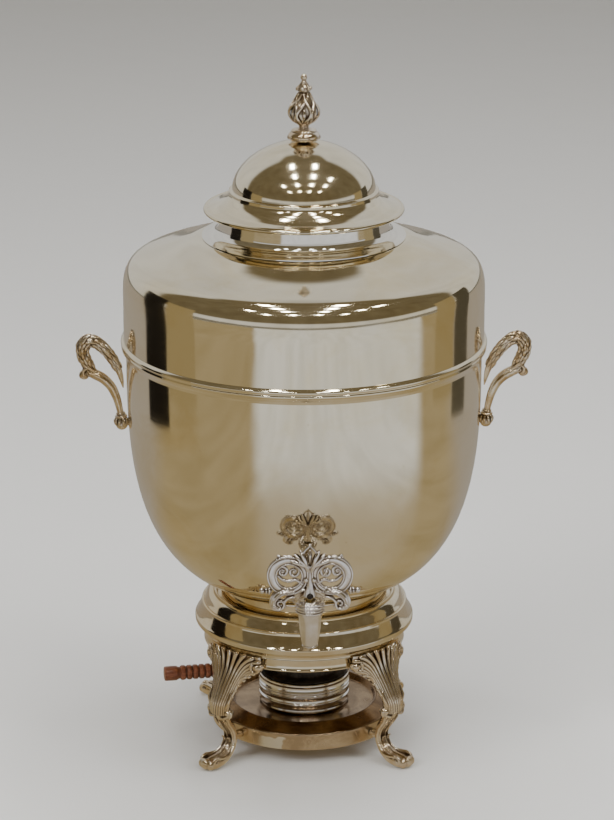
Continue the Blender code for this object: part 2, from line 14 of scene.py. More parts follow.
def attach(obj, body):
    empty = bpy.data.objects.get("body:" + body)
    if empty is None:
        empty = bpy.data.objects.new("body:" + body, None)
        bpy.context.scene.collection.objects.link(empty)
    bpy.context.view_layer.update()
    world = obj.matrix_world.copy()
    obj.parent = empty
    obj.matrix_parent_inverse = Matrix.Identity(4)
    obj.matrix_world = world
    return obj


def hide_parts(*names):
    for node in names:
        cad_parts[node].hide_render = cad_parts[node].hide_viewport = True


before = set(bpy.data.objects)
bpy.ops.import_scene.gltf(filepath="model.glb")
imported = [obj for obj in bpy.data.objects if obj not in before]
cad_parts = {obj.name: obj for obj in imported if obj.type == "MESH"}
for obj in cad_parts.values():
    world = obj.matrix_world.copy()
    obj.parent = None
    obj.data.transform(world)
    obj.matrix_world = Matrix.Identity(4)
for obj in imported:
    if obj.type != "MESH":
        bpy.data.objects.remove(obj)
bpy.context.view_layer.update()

AXIS_Y = 15.9
TAU = 2 * pi
XZ = ((1, 0, 0), (0, 0, 1))
YZ = ((0, 1, 0), (0, 0, 1))
ANKLE_PLANE = ((0, 1, 0), (0.35, 0, 0.94))
CURL_STEPS = 36


# -------- geometry

class Shape:
    """Vertices in millimetres about the urn's axis, and faces, gathered from several closed forms."""

    def __init__(self):
        self.verts = []
        self.faces = []

    def add(self, verts, faces):
        start = sum(len(v) for v in self.verts)
        self.verts.append(np.asarray(verts, float))
        self.faces += [tuple(i + start for i in f) for f in faces]
        return self

    def merge(self, other, matrix=None):
        verts = np.concatenate(other.verts)
        if matrix is not None:
            m = np.array(matrix)
            verts = verts @ m[:3, :3].T + m[:3, 3]
        return self.add(verts, other.faces)

    def tube(self, *rows, **options):
        return self.merge(sweep(*rows, **options))

    def bend(self, rows, per_span, *sides, **options):
        """A tube along a smooth curve through the rows."""
        return self.merge(sweep(curve(rows, per_span), *sides, **options))

    def ball(self, *place, **options):
        return self.merge(blob(*place, **options))


def curve(points, per_span=8):
    """A Catmull-Rom curve through rows of any width."""
    rows = np.array(points, float)
    rows = np.vstack([2 * rows[0] - rows[1], rows, 2 * rows[-1] - rows[-2]])
    out = []
    for a, b, c, d in zip(rows, rows[1:], rows[2:], rows[3:]):
        for t in np.arange(per_span) / per_span:
            out.append(0.5 * (2 * b + (c - a) * t + (2 * a - 5 * b + 4 * c - d) * t * t
                              + (3 * b - a - 3 * c + d) * t ** 3))
    out.append(rows[-2])
    return np.array(out)


def arc(r, z, radius, start, end, count=10):
    """Profile points on a circle, from one angle to another in degrees."""
    return [(r + radius * cos(radians(a)), z + radius * sin(radians(a)))
            for a in np.linspace(start, end, count)]


def polar(r, a, *rest):
    """A row at a radius and an angle about Z."""
    return (r * cos(a), r * sin(a), *rest)


def lathe(profile, steps, swell=None):
    """A profile turned about Z, closed unless it starts on the axis. swell(angles, z) scales its radius."""
    closed = profile[0][0] > 0
    angles = np.arange(steps) * TAU / steps
    rings, verts = [], []
    for r, z in profile:
        if r < 1e-6:
            rings.append([len(verts)] * steps)
            verts.append((0, 0, z))
            continue
        radii = r * (swell(angles, z) if swell else np.ones(steps))
        rings.append(list(range(len(verts), len(verts) + steps)))
        verts += [polar(q, a, z) for q, a in zip(radii, angles)]
    faces = []
    pairs = list(zip(rings, rings[1:])) + ([(rings[-1], rings[0])] if closed else [])
    for a, b in pairs:
        for i in range(steps):
            j = (i + 1) % steps
            face = []
            for v in (a[i], a[j], b[j], b[i]):
                if v not in face:
                    face.append(v)
            if len(face) > 2:
                faces.append(tuple(face))
    return Shape().add(verts, faces)


def tube_faces(count, sides, cyclic=False):
    """The quads between rings of points, with a cap at each end unless the last ring joins the first."""
    faces = []
    for i in range(count if cyclic else count - 1):
        k = (i + 1) % count
        for j in range(sides):
            n = (j + 1) % sides
            faces.append((i * sides + j, i * sides + n, k * sides + n, k * sides + j))
    if not cyclic:
        faces += [tuple(range(sides))[::-1], tuple(range((count - 1) * sides, count * sides))]
    return faces


def sweep(path, sides=14, flat=1.0, up=(0, 0, 1), round_ends=True, cyclic=False, ripple=None):
    """A tube along rows (x, y, z, radius). flat scales it across the up direction's side."""
    path = np.asarray(path, float)
    points, radii = path[:, :3], path[:, 3]
    if round_ends and not cyclic:
        for end in (0, -1):
            tangent = points[end] - points[1 if end == 0 else -2]
            tangent /= np.linalg.norm(tangent)
            bits = np.radians([90, 65, 40, 18]) if end == 0 else np.radians([18, 40, 65, 90])
            extra = [points[end] + tangent * radii[end] * sin(b) for b in bits]
            sizes = [max(radii[end] * cos(b), 0.01) for b in bits]
            if end == 0:
                points, radii = np.vstack([extra, points]), np.concatenate([sizes, radii])
            else:
                points, radii = np.vstack([points, extra]), np.concatenate([radii, sizes])
    count = len(points)
    tangents = np.roll(points, -1, 0) - np.roll(points, 1, 0)
    if not cyclic:
        tangents[0], tangents[-1] = points[1] - points[0], points[-1] - points[-2]
    tangents /= np.maximum(np.linalg.norm(tangents, axis=1), 1e-9)[:, None]
    side = np.cross(tangents[0], np.array(up, float))
    if np.linalg.norm(side) < 1e-3:
        side = np.cross(tangents[0], (1, 0, 0.01))
    side /= np.linalg.norm(side)
    verts = []
    turns = np.arange(sides) * TAU / sides
    for i in range(count):
        side = side - tangents[i] * side.dot(tangents[i])
        side /= np.linalg.norm(side)
        over = np.cross(side, tangents[i])
        radius = radii[i] * (ripple(turns, i / (count - 1)) if ripple is not None else np.ones(sides))
        for q, a in zip(radius, turns):
            verts.append(points[i] + q * (cos(a) * side * flat + sin(a) * over))
    return Shape().add(verts, tube_faces(count, sides, cyclic))


def blob(centre, radii, rotation=None, segments=20, lobes=0, depth=0.0):
    """An ellipsoid, lobed round its own Z if lobes is given."""
    profile = [(cos(t), sin(t)) for t in np.linspace(pi / 2, -pi / 2, segments // 2 + 1)]
    profile[0], profile[-1] = (0, 1), (0, -1)
    notch = lambda a, z: 1 - depth * (1 - z ** 2) * (1 - np.abs(np.cos(lobes * a / 2))) ** 1.5
    shape = lathe(profile, segments * (2 if lobes else 1), swell=notch if lobes else None)
    m = Matrix.Translation(centre) @ (rotation or Matrix.Identity(4)) @ Matrix.Diagonal((*radii, 1))
    return Shape().merge(shape, m)


def spiral(centre, start, end, first, turns, axes, radius, taper):
    """Rows for sweep: a curl in the plane of the two axes, from one distance in to another."""
    a, b = (np.array(v, float) for v in axes)
    rows = []
    for t in np.linspace(0, 1, CURL_STEPS):
        angle = first + TAU * turns * t
        reach = start + (end - start) * t
        place = np.array(centre, float) + reach * (cos(angle) * a + sin(angle) * b)
        rows.append((*place, radius * (1 - (1 - taper) * t)))
    return rows


def along(direction, location):
    """The matrix that carries a form drawn about Z to a place, with Z along a direction."""
    return Matrix.Translation(location) @ Vector(direction).to_track_quat("Z", "Y").to_matrix().to_4x4()


def add_object(name, data):
    obj = bpy.data.objects.new(name, data)
    bpy.context.scene.collection.objects.link(obj)
    return obj


def piece(name, shape, material, body, nodes, sharp):
    """Puts a shape into the scene in metres, riding on a body in place of CAD nodes."""
    verts = (np.concatenate(shape.verts) + (0, AXIS_Y, 0)) / 1000
    mesh = bpy.data.meshes.new(name)
    mesh.from_pydata(verts.tolist(), [], shape.faces)
    build = bmesh.new()
    build.from_mesh(mesh)
    bmesh.ops.recalc_face_normals(build, faces=build.faces)
    build.to_mesh(mesh)
    build.free()
    mesh.shade_smooth()
    mesh.set_sharp_from_angle(angle=radians(sharp))
    mesh.materials.append(material)
    obj = add_object(name, mesh)
    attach(obj, body)
    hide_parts(*nodes)


# -------- materials

class Nodes:
    """Shorthands for shader nodes. where is the coordinate that patterns and axes are read from."""

    def __init__(self, tree, coordinate):
        self.tree = tree
        self.where = self.node("TexCoord").outputs[coordinate]

    def node(self, kind, **inputs):
        node = self.tree.nodes.new("ShaderNode" + kind)
        for name, value in inputs.items():
            self.link(value, node.inputs[name.replace("_", " ")])
        return node

    def link(self, value, socket):
        """Wires an output to a socket, or sets the socket to a number, a vector or an RGB colour."""
        if isinstance(value, bpy.types.NodeSocket):
            self.tree.links.new(value, socket)
        else:
            socket.default_value = (*value, 1) if socket.type == "RGBA" else value

    def stretched(self, scale):
        return self.node("Mapping", Vector=self.where, Scale=scale).outputs["Vector"]

    def noise(self, scale, detail=3.0, rough=0.5, where=None, distortion=0.0):
        return self.node("TexNoise", Vector=where or self.where, Scale=scale, Detail=detail,
            Roughness=rough, Distortion=distortion).outputs["Fac"]

    def fit(self, value, from_low, from_high, to_low=0.0, to_high=1.0):
        node = self.node("MapRange", Value=value, From_Min=from_low, From_Max=from_high, To_Min=to_low,
            To_Max=to_high)
        node.interpolation_type = "SMOOTHSTEP"
        return node.outputs["Result"]

    def math(self, operation, a, b=0.0):
        node = self.node("Math")
        node.operation = operation
        self.link(a, node.inputs[0])
        self.link(b, node.inputs[1])
        return node.outputs[0]

    def times(self, a, b):
        return self.math("MULTIPLY", a, b)

    def plus(self, a, b):
        return self.math("ADD", a, b)

    def minus(self, a, b):
        return self.math("SUBTRACT", a, b)

    def mix(self, amount, a, b):
        node = self.node("Mix")
        node.data_type = "RGBA"
        for value, name in ((amount, "Factor"), (a, "A"), (b, "B")):
            self.link(value, node.inputs[name])
        return node.outputs["Result"]

    def axis(self, letter):
        return self.node("SeparateXYZ", Vector=self.where).outputs[letter]


class Look(Nodes):
    """A Principled material, patterned in object coordinates."""

    def __init__(self, name, metallic=1.0):
        self.material = bpy.data.materials.new(name)
        self.material.use_nodes = True
        super().__init__(self.material.node_tree, "Object")
        self.shader = self.tree.nodes["Principled BSDF"]
        self.link(metallic, self.shader.inputs["Metallic"])

    def recess(self, distance, low=0.45, high=0.9):
        """1 in corners narrower than the distance, 0 in the open."""
        node = self.node("AmbientOcclusion", Distance=distance)
        node.samples = 6
        node.only_local = True
        return self.fit(node.outputs["AO"], low, high, 1.0, 0.0)

    def bump(self, height, distance, strength=1.0, under=None):
        node = self.node("Bump", Strength=strength, Distance=distance, Height=height)
        if under is not None:
            self.link(under, node.inputs["Normal"])
        return node.outputs["Normal"]

    def done(self, color, rough, normal):
        for name, value in (("Base Color", color), ("Roughness", rough), ("Normal", normal)):
            self.link(value, self.shader.inputs[name])
        return self.material

    def glow(self, color):
        """Plain light in place of the Principled shader."""
        light = self.node("Emission", Color=color)
        self.tree.nodes.remove(self.shader)
        self.link(light.outputs[0], self.tree.nodes["Material Output"].inputs["Surface"])
        return self.material


TARNISH = (0.30, 0.20, 0.10)


def polished(name, clean, stained, rough=0.05, stain=(0.42, 0.72), ripple=0.00010):
    """Rolled and buffed plate: faint waves, hairline wipes, cloudy yellowing and small brown specks."""
    look = Look(name)
    cloud = look.fit(look.noise(13, 5, 0.6, distortion=0.6), *stain)
    speck = look.fit(look.noise(210, 3, 0.7), 0.70, 0.80)
    corner = look.recess(0.005, 0.35, 0.8)
    color = look.mix(cloud, clean, stained)
    color = look.mix(look.times(speck, 0.35), color, TARNISH)
    color = look.mix(look.times(corner, 0.75), color, TARNISH)
    wipes = look.noise(1, 4, 0.65, look.stretched((25, 25, 420)))
    shine = look.fit(look.noise(7, 4, 0.6), 0.3, 0.75, rough, rough + 0.06)
    shine = look.plus(shine, look.fit(wipes, 0.45, 0.8, 0.0, 0.05))
    shine = look.plus(shine, look.times(corner, 0.22))
    wave = look.bump(look.noise(16, 2, 0.4), ripple)
    hair = look.bump(wipes, 0.0000035, 1.0, wave)
    return look.done(color, shine, hair)


def cast(name, clean, stained, deep, rough=0.14, reach=0.0035, grain=0.00006):
    """Cast and wiped: bright on the high places, brown-gold patina left in the low ones."""
    look = Look(name)
    low_place = look.recess(reach, 0.50, 0.97)
    worn = look.fit(look.noise(70, 4, 0.6), 0.36, 0.64)
    color = look.mix(look.times(worn, 0.75), clean, stained)
    color = look.mix(look.times(low_place, 0.97), color, deep)
    pits = look.noise(900, 3, 0.7)
    shine = look.plus(look.fit(look.noise(150, 3, 0.6), 0.3, 0.8, rough, rough + 0.10),
        look.times(low_place, 0.3))
    return look.done(color, shine, look.bump(pits, grain, 0.5,
        look.bump(look.noise(260, 3, 0.6), grain * 1.5)))


def tray_look():
    """The burner tray: brown plate, darker brown on its top face, with a pale patch rubbed clean on its
    front edge.
    """
    look = Look("tray_plate")
    cloud = look.fit(look.noise(34, 5, 0.65, distortion=0.8), 0.35, 0.65)
    color = look.mix(cloud, (0.50, 0.39, 0.27), (0.70, 0.58, 0.43))
    # Above 28.5 mm, on the top face, the brown turns darker.
    color = look.mix(look.fit(look.axis("Z"), 0.0270, 0.0285), color,
        look.mix(cloud, (0.15, 0.085, 0.038), (0.30, 0.19, 0.095)))
    edge = look.plus(look.axis("X"), look.times(look.minus(look.noise(55, 4, 0.6), 0.5), 0.022))
    patch = look.times(look.fit(edge, -0.044, -0.041), look.fit(edge, -0.022, -0.019, 1.0, 0.0))
    front = look.fit(look.axis("Y"), -0.054, -0.050, 1.0, 0.0)
    height = look.plus(look.axis("Z"), look.times(look.noise(90, 4), 0.010))
    band = look.fit(height, 0.0285, 0.0300, 1.0, 0.0)
    clean = look.times(look.times(patch, front), band)
    color = look.mix(clean, color, (0.86, 0.83, 0.76))
    corner = look.recess(0.006, 0.3, 0.85)
    color = look.mix(look.times(corner, 0.7), color, (0.16, 0.09, 0.04))
    shine = look.plus(look.fit(look.noise(40, 5, 0.7), 0.3, 0.7, 0.13, 0.28), look.times(corner, 0.2))
    return look.done(color, shine, look.bump(look.noise(300, 4, 0.7), 0.00004))


def sooty(name, base, rough):
    look = Look(name, metallic=0.75)
    cloud = look.fit(look.noise(90, 5, 0.7), 0.35, 0.7)
    color = look.mix(cloud, base, tuple(min(1.0, 2.4 * c + 0.03) for c in base))
    return look.done(color, look.fit(look.noise(160, 4, 0.7), 0.3, 0.7, rough, rough + 0.2),
        look.bump(look.noise(600, 4, 0.7), 0.00008))


def machined(name, base, rough):
    look = Look(name)
    low_place = look.recess(0.003)
    color = look.mix(look.fit(look.noise(120, 4, 0.7), 0.4, 0.7), base, tuple(0.66 * c for c in base))
    color = look.mix(look.times(low_place, 0.8), color, tuple(0.25 * c for c in base))
    return look.done(color, look.fit(look.noise(200, 3, 0.7), 0.3, 0.7, rough, rough + 0.15),
        look.bump(look.noise(500, 3, 0.6), 0.00003))


def wood_look():
    """Stained, varnished wood, its grain along the grip, dark in the turned grooves."""
    look = Look("grip_wood", metallic=0.0)
    grain = look.noise(1, 6, 0.65, look.stretched((60, 420, 420)), distortion=1.2)
    fibre = look.noise(1, 3, 0.7, look.stretched((150, 1500, 1500)))
    color = look.mix(look.fit(grain, 0.3, 0.7), (0.095, 0.024, 0.010), (0.25, 0.078, 0.032))
    color = look.mix(look.fit(fibre, 0.55, 0.8, 0.0, 0.45), color, (0.07, 0.018, 0.010))
    groove = look.recess(0.0025, 0.35, 0.95)
    color = look.mix(look.times(groove, 0.9), color, (0.018, 0.007, 0.005))
    look.shader.inputs["Coat Weight"].default_value = 0.35
    look.shader.inputs["Coat Roughness"].default_value = 0.22
    shine = look.plus(look.fit(grain, 0.3, 0.7, 0.42, 0.30), look.times(groove, 0.3))
    return look.done(color, shine, look.bump(fibre, 0.00012, 0.6, look.bump(grain, 0.0002, 0.5)))


def matt(name, base, rough, scale, depth):
    look = Look(name, metallic=0.0)
    color = look.mix(look.fit(look.noise(scale, 5, 0.7), 0.3, 0.7), base, tuple(0.6 * c for c in base))
    return look.done(color, look.fit(look.noise(scale * 2, 3), 0.3, 0.7, rough - 0.08, rough),
        look.bump(look.noise(scale * 3, 4, 0.7), depth))


SILVER = polished("plate_polished", (0.91, 0.84, 0.68), (0.86, 0.76, 0.54))
NECK = polished("plate_neck", (0.96, 0.94, 0.89), (0.93, 0.89, 0.81))
DRUM = polished("plate_stand", (0.88, 0.81, 0.66), (0.74, 0.60, 0.38), 0.06, (0.38, 0.66))
# The burner's plate has its own neutral tone, but its near-white brightness is painted highlight, standing
# in for a flash glint on it.
BURNER = polished("plate_burner", (0.97, 0.97, 0.98), (0.92, 0.90, 0.88), 0.12, (0.42, 0.70), 0.00006)
TRAY = tray_look()
CAST = cast("cast_patina", (0.91, 0.84, 0.73), (0.74, 0.58, 0.38), (0.12, 0.060, 0.022))
CHASED = cast("cast_chased", (0.92, 0.84, 0.71), (0.64, 0.46, 0.24), (0.10, 0.050, 0.018),
    0.15, 0.0045, 0.00022)
CAST_BRIGHT = cast("cast_bright", (0.90, 0.88, 0.89), (0.80, 0.75, 0.70), (0.20, 0.12, 0.06), 0.11)
SOOT = sooty("blackened", (0.030, 0.024, 0.020), 0.38)
BRASS = machined("plain_brass", (0.62, 0.47, 0.22), 0.24)
STEEL = machined("plain_steel", (0.52, 0.50, 0.48), 0.28)
WOOD = wood_look()
WICK = matt("wick_fibre", (0.55, 0.50, 0.42), 0.95, 300, 0.0006)
RUBBER = matt("gasket_rubber", (0.05, 0.045, 0.042), 0.75, 200, 0.0001)


# -------- the tank

BOWL_R, BOWL_TOP, BOWL_DEPTH, BOWL_POWER = 146.5, 337, 205, 3.0
BOWL_FLOOR_R = 42
WALL_R, WALL_FOOT, BOWL_LIP = 148.1, 345.2, 344.7
PLATE = 1.2


def bowl_side(offset):
    """The bowl's side from top to bottom, moved outwards by the offset."""
    last = acos((BOWL_FLOOR_R / BOWL_R) ** (BOWL_POWER / 2))
    rows = []
    for turn in np.linspace(0, last, 56):
        r = BOWL_R * cos(turn) ** (2 / BOWL_POWER)
        drop = BOWL_DEPTH * max(sin(turn), 0) ** (2 / BOWL_POWER)
        normal = Vector((BOWL_DEPTH * r ** 2 / BOWL_R ** 3, -(drop / BOWL_DEPTH) ** 2)).normalized()
        rows.append((r + offset * normal.x, BOWL_TOP - drop + offset * normal.y))
    return rows


def bowl_radius(z):
    drop = max(0, BOWL_TOP - z) / BOWL_DEPTH
    return BOWL_R * (1 - min(drop, 1) ** BOWL_POWER) ** (1 / BOWL_POWER)


SHOULDER = [
    (72, 437.6), (79, 437.2), (85, 436), (91, 433.9), (97, 431.2), (103, 428.6), (110, 425.9), (118, 423.3),
    (126, 421), (133, 418.8), (139, 416.4), (143.4, 412.6), (146.4, 406.6), (147.7, 400), (WALL_R, 393),
]


def inner_side(outline, thickness):
    """The inner face of a sheet whose outer face runs from top to bottom along the outline."""
    slope = np.gradient(outline, axis=0)
    slope /= np.linalg.norm(slope, axis=1)[:, None]
    return outline + thickness * np.stack([slope[:, 1], -slope[:, 0]], 1)


def tank():
    outer, inner = bowl_side(0), bowl_side(-PLATE)
    profile = [(BOWL_R, BOWL_LIP), (BOWL_R, 341), *outer, (20, outer[-1][1]), (0, outer[-1][1]),
        (0, inner[-1][1]), (20, inner[-1][1]), *inner[::-1], (BOWL_R - PLATE, BOWL_LIP)]
    piece("bowl_plate", lathe(profile, 256), SILVER, "urn", ["urn_bowl"], 40)

    shoulder = curve(SHOULDER, 5)
    inside = inner_side(shoulder, PLATE)
    wall = [(WALL_R, z) for z in np.linspace(386, WALL_FOOT, 7)]
    profile = [*shoulder, *wall, (WALL_R - PLATE, WALL_FOOT), *inside[::-1]]
    piece("shoulder_plate", lathe(profile, 256), SILVER, "urn", ["urn_shoulder"], 40)

    band = [(148.2, 351.2), (148.9, 350.9), *arc(148.6, 348.4, 2, 62, -52, 10),
        *arc(148.3, 344.9, 1.9, 42, -55, 9), *curve([(148.9, 342.9), (148.2, 341.6), (147.4, 340.4),
        (146.7, 338.2)], 5), (146.6, 338), (148.2, 345)]
    piece("band_beads", lathe(band, 256), SILVER, "urn", ["body_band"], 60)

    fillet = curve([(69.5, 448), (69.8, 445.4), (71, 442.6), (73.2, 440.3), (76.4, 438.8), (80.2, 438),
        (83.2, 437.4)], 5)
    neck = [(66, 461.2), (66.5, 461.8), (68.8, 461.8), (69.5, 461.2), (69.5, 452), *fillet, (83.2, 436.8),
        (79.4, 437.5), (72, 437.9), (66, 437.9)]
    piece("neck_band", lathe(neck, 224), NECK, "urn", ["neck_ring"], 40)

    foot = [(66, 137.7), (68, 138.4), (70, 139.1), (70, 133), *arc(69.4, 128.6, 0.7, 20, -90, 5),
        (66, 127.9)]
    piece("foot_band", lathe(foot, 192), DRUM, "urn", ["foot_ring"], 40)


DOME_Z, DOME_POINT = 474, 2.2


def lid():
    def dome(r, rise, start, end, count):
        rows = []
        for t in np.radians(np.linspace(start, end, count)):
            rows.append((r * cos(t), DOME_Z + rise * sin(t) + DOME_POINT * sin(t) ** 4))
        return rows

    outside = dome(58.5, 39, 87.6, 3, 48)
    inside = dome(57.3, 37.8, 3, 87.6, 48)
    crease = arc(60, 474.4, 0.9, 100, -10, 5)
    flare = curve([(60.6, 472.6), (61.6, 470.4), (64.6, 467), (70.4, 463.4), (76, 461.3), (79, 460.5)], 7)
    rim = [(79.6, 460.6), *arc(80, 459.1, 1.7, 82, -100, 12)]
    under = [(78.4, 459), (76, 460), (70.2, 462.1), (64.2, 465.9), (60.4, 469.9), (58.6, 472.8)]
    profile = [*outside, *crease, *flare, *rim, *under, *inside]
    piece("lid_plate", lathe(profile, 256), SILVER, "lid", ["lid_shell"], 40)
    collar = [(63.3, 463.2), (64, 463.2), (64.6, 462.6), (64.6, 442.2), *arc(64, 441.9, 0.6, 0, -90, 4),
        (63.3, 441.3)]
    piece("lid_collar_plate", lathe(collar, 192), SILVER, "lid", ["lid_collar"], 40)

    # The finial: a ball, a ring of beads, a bud of flame leaves, a waist, and an oblate ball on a leaf ring.
    stem = Shape()
    stem.merge(lathe([(0, 570), *arc(0, 567.2, 2.8, 86, -52, 14), (2, 564.4), (2.7, 563.2), (2.3, 562),
        (3.2, 560.8), (4.2, 559.8), (5, 557.6), (4.4, 555.6), (3.2, 554.4), (0, 554.2)], 40))
    for k in range(6):
        a = TAU * (k + 0.25) / 6
        stem.ball(polar(5.2, a, 558.2), (1.75, 1.75, 1.9), segments=14)
        stem.tube([polar(4.6, a, 557.6, 0.9), polar(3.4, a, 560.8, 0.8), polar(2, a, 563.4, 0.5)], 8)
    body = curve([(3.6, 555), (4.8, 552.6), (6.4, 549.4), (8.2, 545.4), (9.4, 541.4), (9.7, 537.4),
        (8.6, 533.8), (7, 531), (5, 528.6)], 6)
    twist = lambda a, z: 1 + 0.07 * np.cos(6 * (a + 0.05 * (z - 540)))
    stem.merge(lathe([(0, 555.2), *body, (0, 527)], 96, swell=twist))
    for k in range(6):
        turn = TAU * (k + 0.5) / 6
        for side in (-1, 1):
            rows = []
            for r, z, spread in ((5.6, 530.2, 0.04), (9, 532.4, 0.20), (11.7, 536.6, 0.36),
                    (11.5, 541.2, 0.34), (9.2, 546, 0.14), (6.7, 550.2, -0.10), (4.9, 554, -0.26)):
                a = turn + side * spread * 1.35 + 0.02 * (z - 540)
                rows.append(polar(r, a, z, 1.25 - 0.08 * abs(z - 540) / 2.4))
            rows = curve(rows, 5)
            rows[:, 3] = np.maximum(rows[:, 3], 0.5)
            stem.tube(rows, 10)
        drop = [(7.4, 533, 0.6), (9.8, 536.2, 1.2), (10, 539.2, 1.3), (8.6, 544.2, 0.6)]
        stem.bend([polar(r, turn, z, q) for r, z, q in drop], 5, 10)
    stem.merge(lathe([(0, 529.6), (5.1, 529.4), (4.4, 528.2), (4, 526.8), (4.4, 525.4), (6.2, 524.9),
        (8.6, 524.8), (9.9, 524.4), (10.3, 523.7), (10, 523), (11.4, 522.2), (12.4, 520.9), (12.9, 519.2),
        (12.7, 517.8), (12, 516.8), (11, 516.2), (0, 515.9)], 72))
    for k in range(10):
        a = TAU * k / 10
        leaf = ((12.7, 519.4, 0.5), (12.4, 517.8, 1.2), (11.2, 516.9, 0.8))
        stem.bend([polar(r, a, z, q) for r, z, q in leaf], 5, 10)
    stem.merge(lathe([(0, 517), (2.1, 517), (2.1, 497.4), (1.7, 497), (0, 497)], 24))
    piece("finial_bud", stem, CAST, "lid", ["finial"], 60)


# -------- handles

def leaf_scales(path, count, size, tilt, spread):
    """Overlapping little leaves along a stem, in a ring round it."""
    shape = Shape()
    for i in np.linspace(2, len(path) - 3, count).astype(int):
        tangent = path[i + 1, :3] - path[i - 1, :3]
        tangent /= np.linalg.norm(tangent)
        side = np.array((0, 1, 0))
        out = np.cross(tangent, side)
        for n, turn in enumerate(np.arange(6) * TAU / 6 + (i % 2) * 0.5):
            ray = cos(turn) * side + sin(turn) * out
            reach = path[i, 3] * spread
            start = path[i, :3] + ray * reach * 0.72 - tangent * size * 0.9
            mid = path[i, :3] + ray * reach * 1.04
            tip = path[i, :3] + ray * reach * 1.12 + tangent * size * tilt
            shape.bend([(*start, size * 0.30), (*mid, size * 0.46), (*tip, size * 0.16)], 3, 7)
    return shape


BOSS_X = 151.2


def handle(side):
    """The right-hand handle or its mirror image: an arm rises from the boss, and a loop hooks back."""
    word = "right" if side > 0 else "left"
    shape = Shape()
    arm = curve([(151.8, 0, 284, 2.5), (153, 0, 291, 2.8), (155.4, 0, 300, 3.3), (159.4, 0, 308.6, 3.8),
        (165.2, 0, 315, 4.1), (171.6, 0, 318.8, 4.2), (175.6, 0, 320.4, 3.7)], 8)
    shape.tube(arm, 20, flat=1.15, ripple=lambda a, t: 1 + 0.05 * np.cos(4 * a))
    for lift in (-1, 1):
        rim = arm.copy()
        rim[:, 1] = lift * arm[:, 3] * 0.72
        rim[:, 0] -= arm[:, 3] * 0.60
        rim[:, 2] += arm[:, 3] * 0.42
        rim[:, 3] = 0.62
        shape.tube(rim[2:], 8)
    loop = curve([(173.6, 0, 321.6, 3.2), (178.2, 0, 327.8, 4), (181.6, 0, 335.4, 4.6),
        (181.8, 0, 342.6, 4.8), (177.8, 0, 347.6, 4.6), (171.4, 0, 346.8, 4.2), (164.4, 0, 341.2, 3.9),
        (158, 0, 332.8, 3.5), (153, 0, 323, 2.8), (150.6, 0, 314.6, 1.8), (149.4, 0, 307.6, 0.5)], 7)
    shape.tube(loop, 18, ripple=lambda a, t: 1 + 0.07 * np.cos(5 * a))
    shape.merge(leaf_scales(loop[2:56], 15, 3.4, 1.25, 0.94))
    for y in (-1.5, 0, 1.5):
        ridge = loop[44:].copy()
        ridge[:, 1] = y * ridge[:, 3] / 3.0
        ridge[:, 0] -= ridge[:, 3] * 0.75
        ridge[:, 2] -= ridge[:, 3] * 0.45
        ridge[:, 3] = np.maximum(ridge[:, 3] * 0.24, 0.2)
        shape.tube(ridge, 8)
    # The knob where arm and loop meet, with its curled leaves.
    shape.ball((181.2, 0, 318.8), (4.2, 4.4, 4.2), Matrix.Rotation(radians(60), 4, "Y"), 24, 8, 0.16)
    shape.ball((182.6, 0, 318.2), (3, 3, 3))
    for y in (-3.4, 3.4):
        shape.tube(spiral((177.6, y, 321.4), 4.6, 0.8, -0.6, 1.2, XZ, 1.35, 0.45), 9)
        shape.bend([(168.8, y * 0.6, 317.4, 0.8), (172.2, y, 319.2, 1.3), (176, y * 1.05, 321, 1.5),
            (179.4, y * 0.8, 324.4, 0.9)], 5, 9)
    for k in range(5):
        t = k / 4 - 0.5
        shape.bend([(170.4, 6.0 * t, 320.8 - 3 * abs(t), 0.8), (174.6, 7.6 * t, 323.6, 1.25),
            (178.8, 8.4 * t, 326, 0.9)], 4, 8)
    # The boss on the wall: a fluted ball under a gadrooned collar.
    shape.ball((151, 0, 276.4), (5.3, 5.3, 5.5), segments=28, lobes=14, depth=0.07)
    shape.merge(lathe([(0, 3.2), (2.6, 3), *arc(2.9, 1.9, 0.9, 80, -80, 7), (3.2, 0.8),
        *arc(3.7, -0.7, 1.3, 70, -70, 8), (0, -2.2)], 40, swell=lambda a, z: 1 + 0.045 * np.cos(12 * a)),
        along((0.10, 0, 1), (151.6, 0, 283.4)))
    for k in range(10):
        a = TAU * k / 10
        leaf = ((4.2, 281.4, 0.7), (5.4, 278.8, 1.15), (5.2, 275.6, 0.6))
        shape.bend([(BOSS_X + r * cos(a), r * sin(a), z, q) for r, z, q in leaf], 4, 8)
    shape.tube([(149, 0, 277, 2.5), (136, 0, 277, 2.5)], 20)
    for verts in shape.verts:
        verts[:, 0] *= side
    piece("handle_" + word + "_scroll", shape, CHASED, "urn", ["handle_" + word], 60)


# -------- the tap

TAP_Y, TAP_Z = -170, 166
LOOP_X, LOOP_Z = 17, 204.8


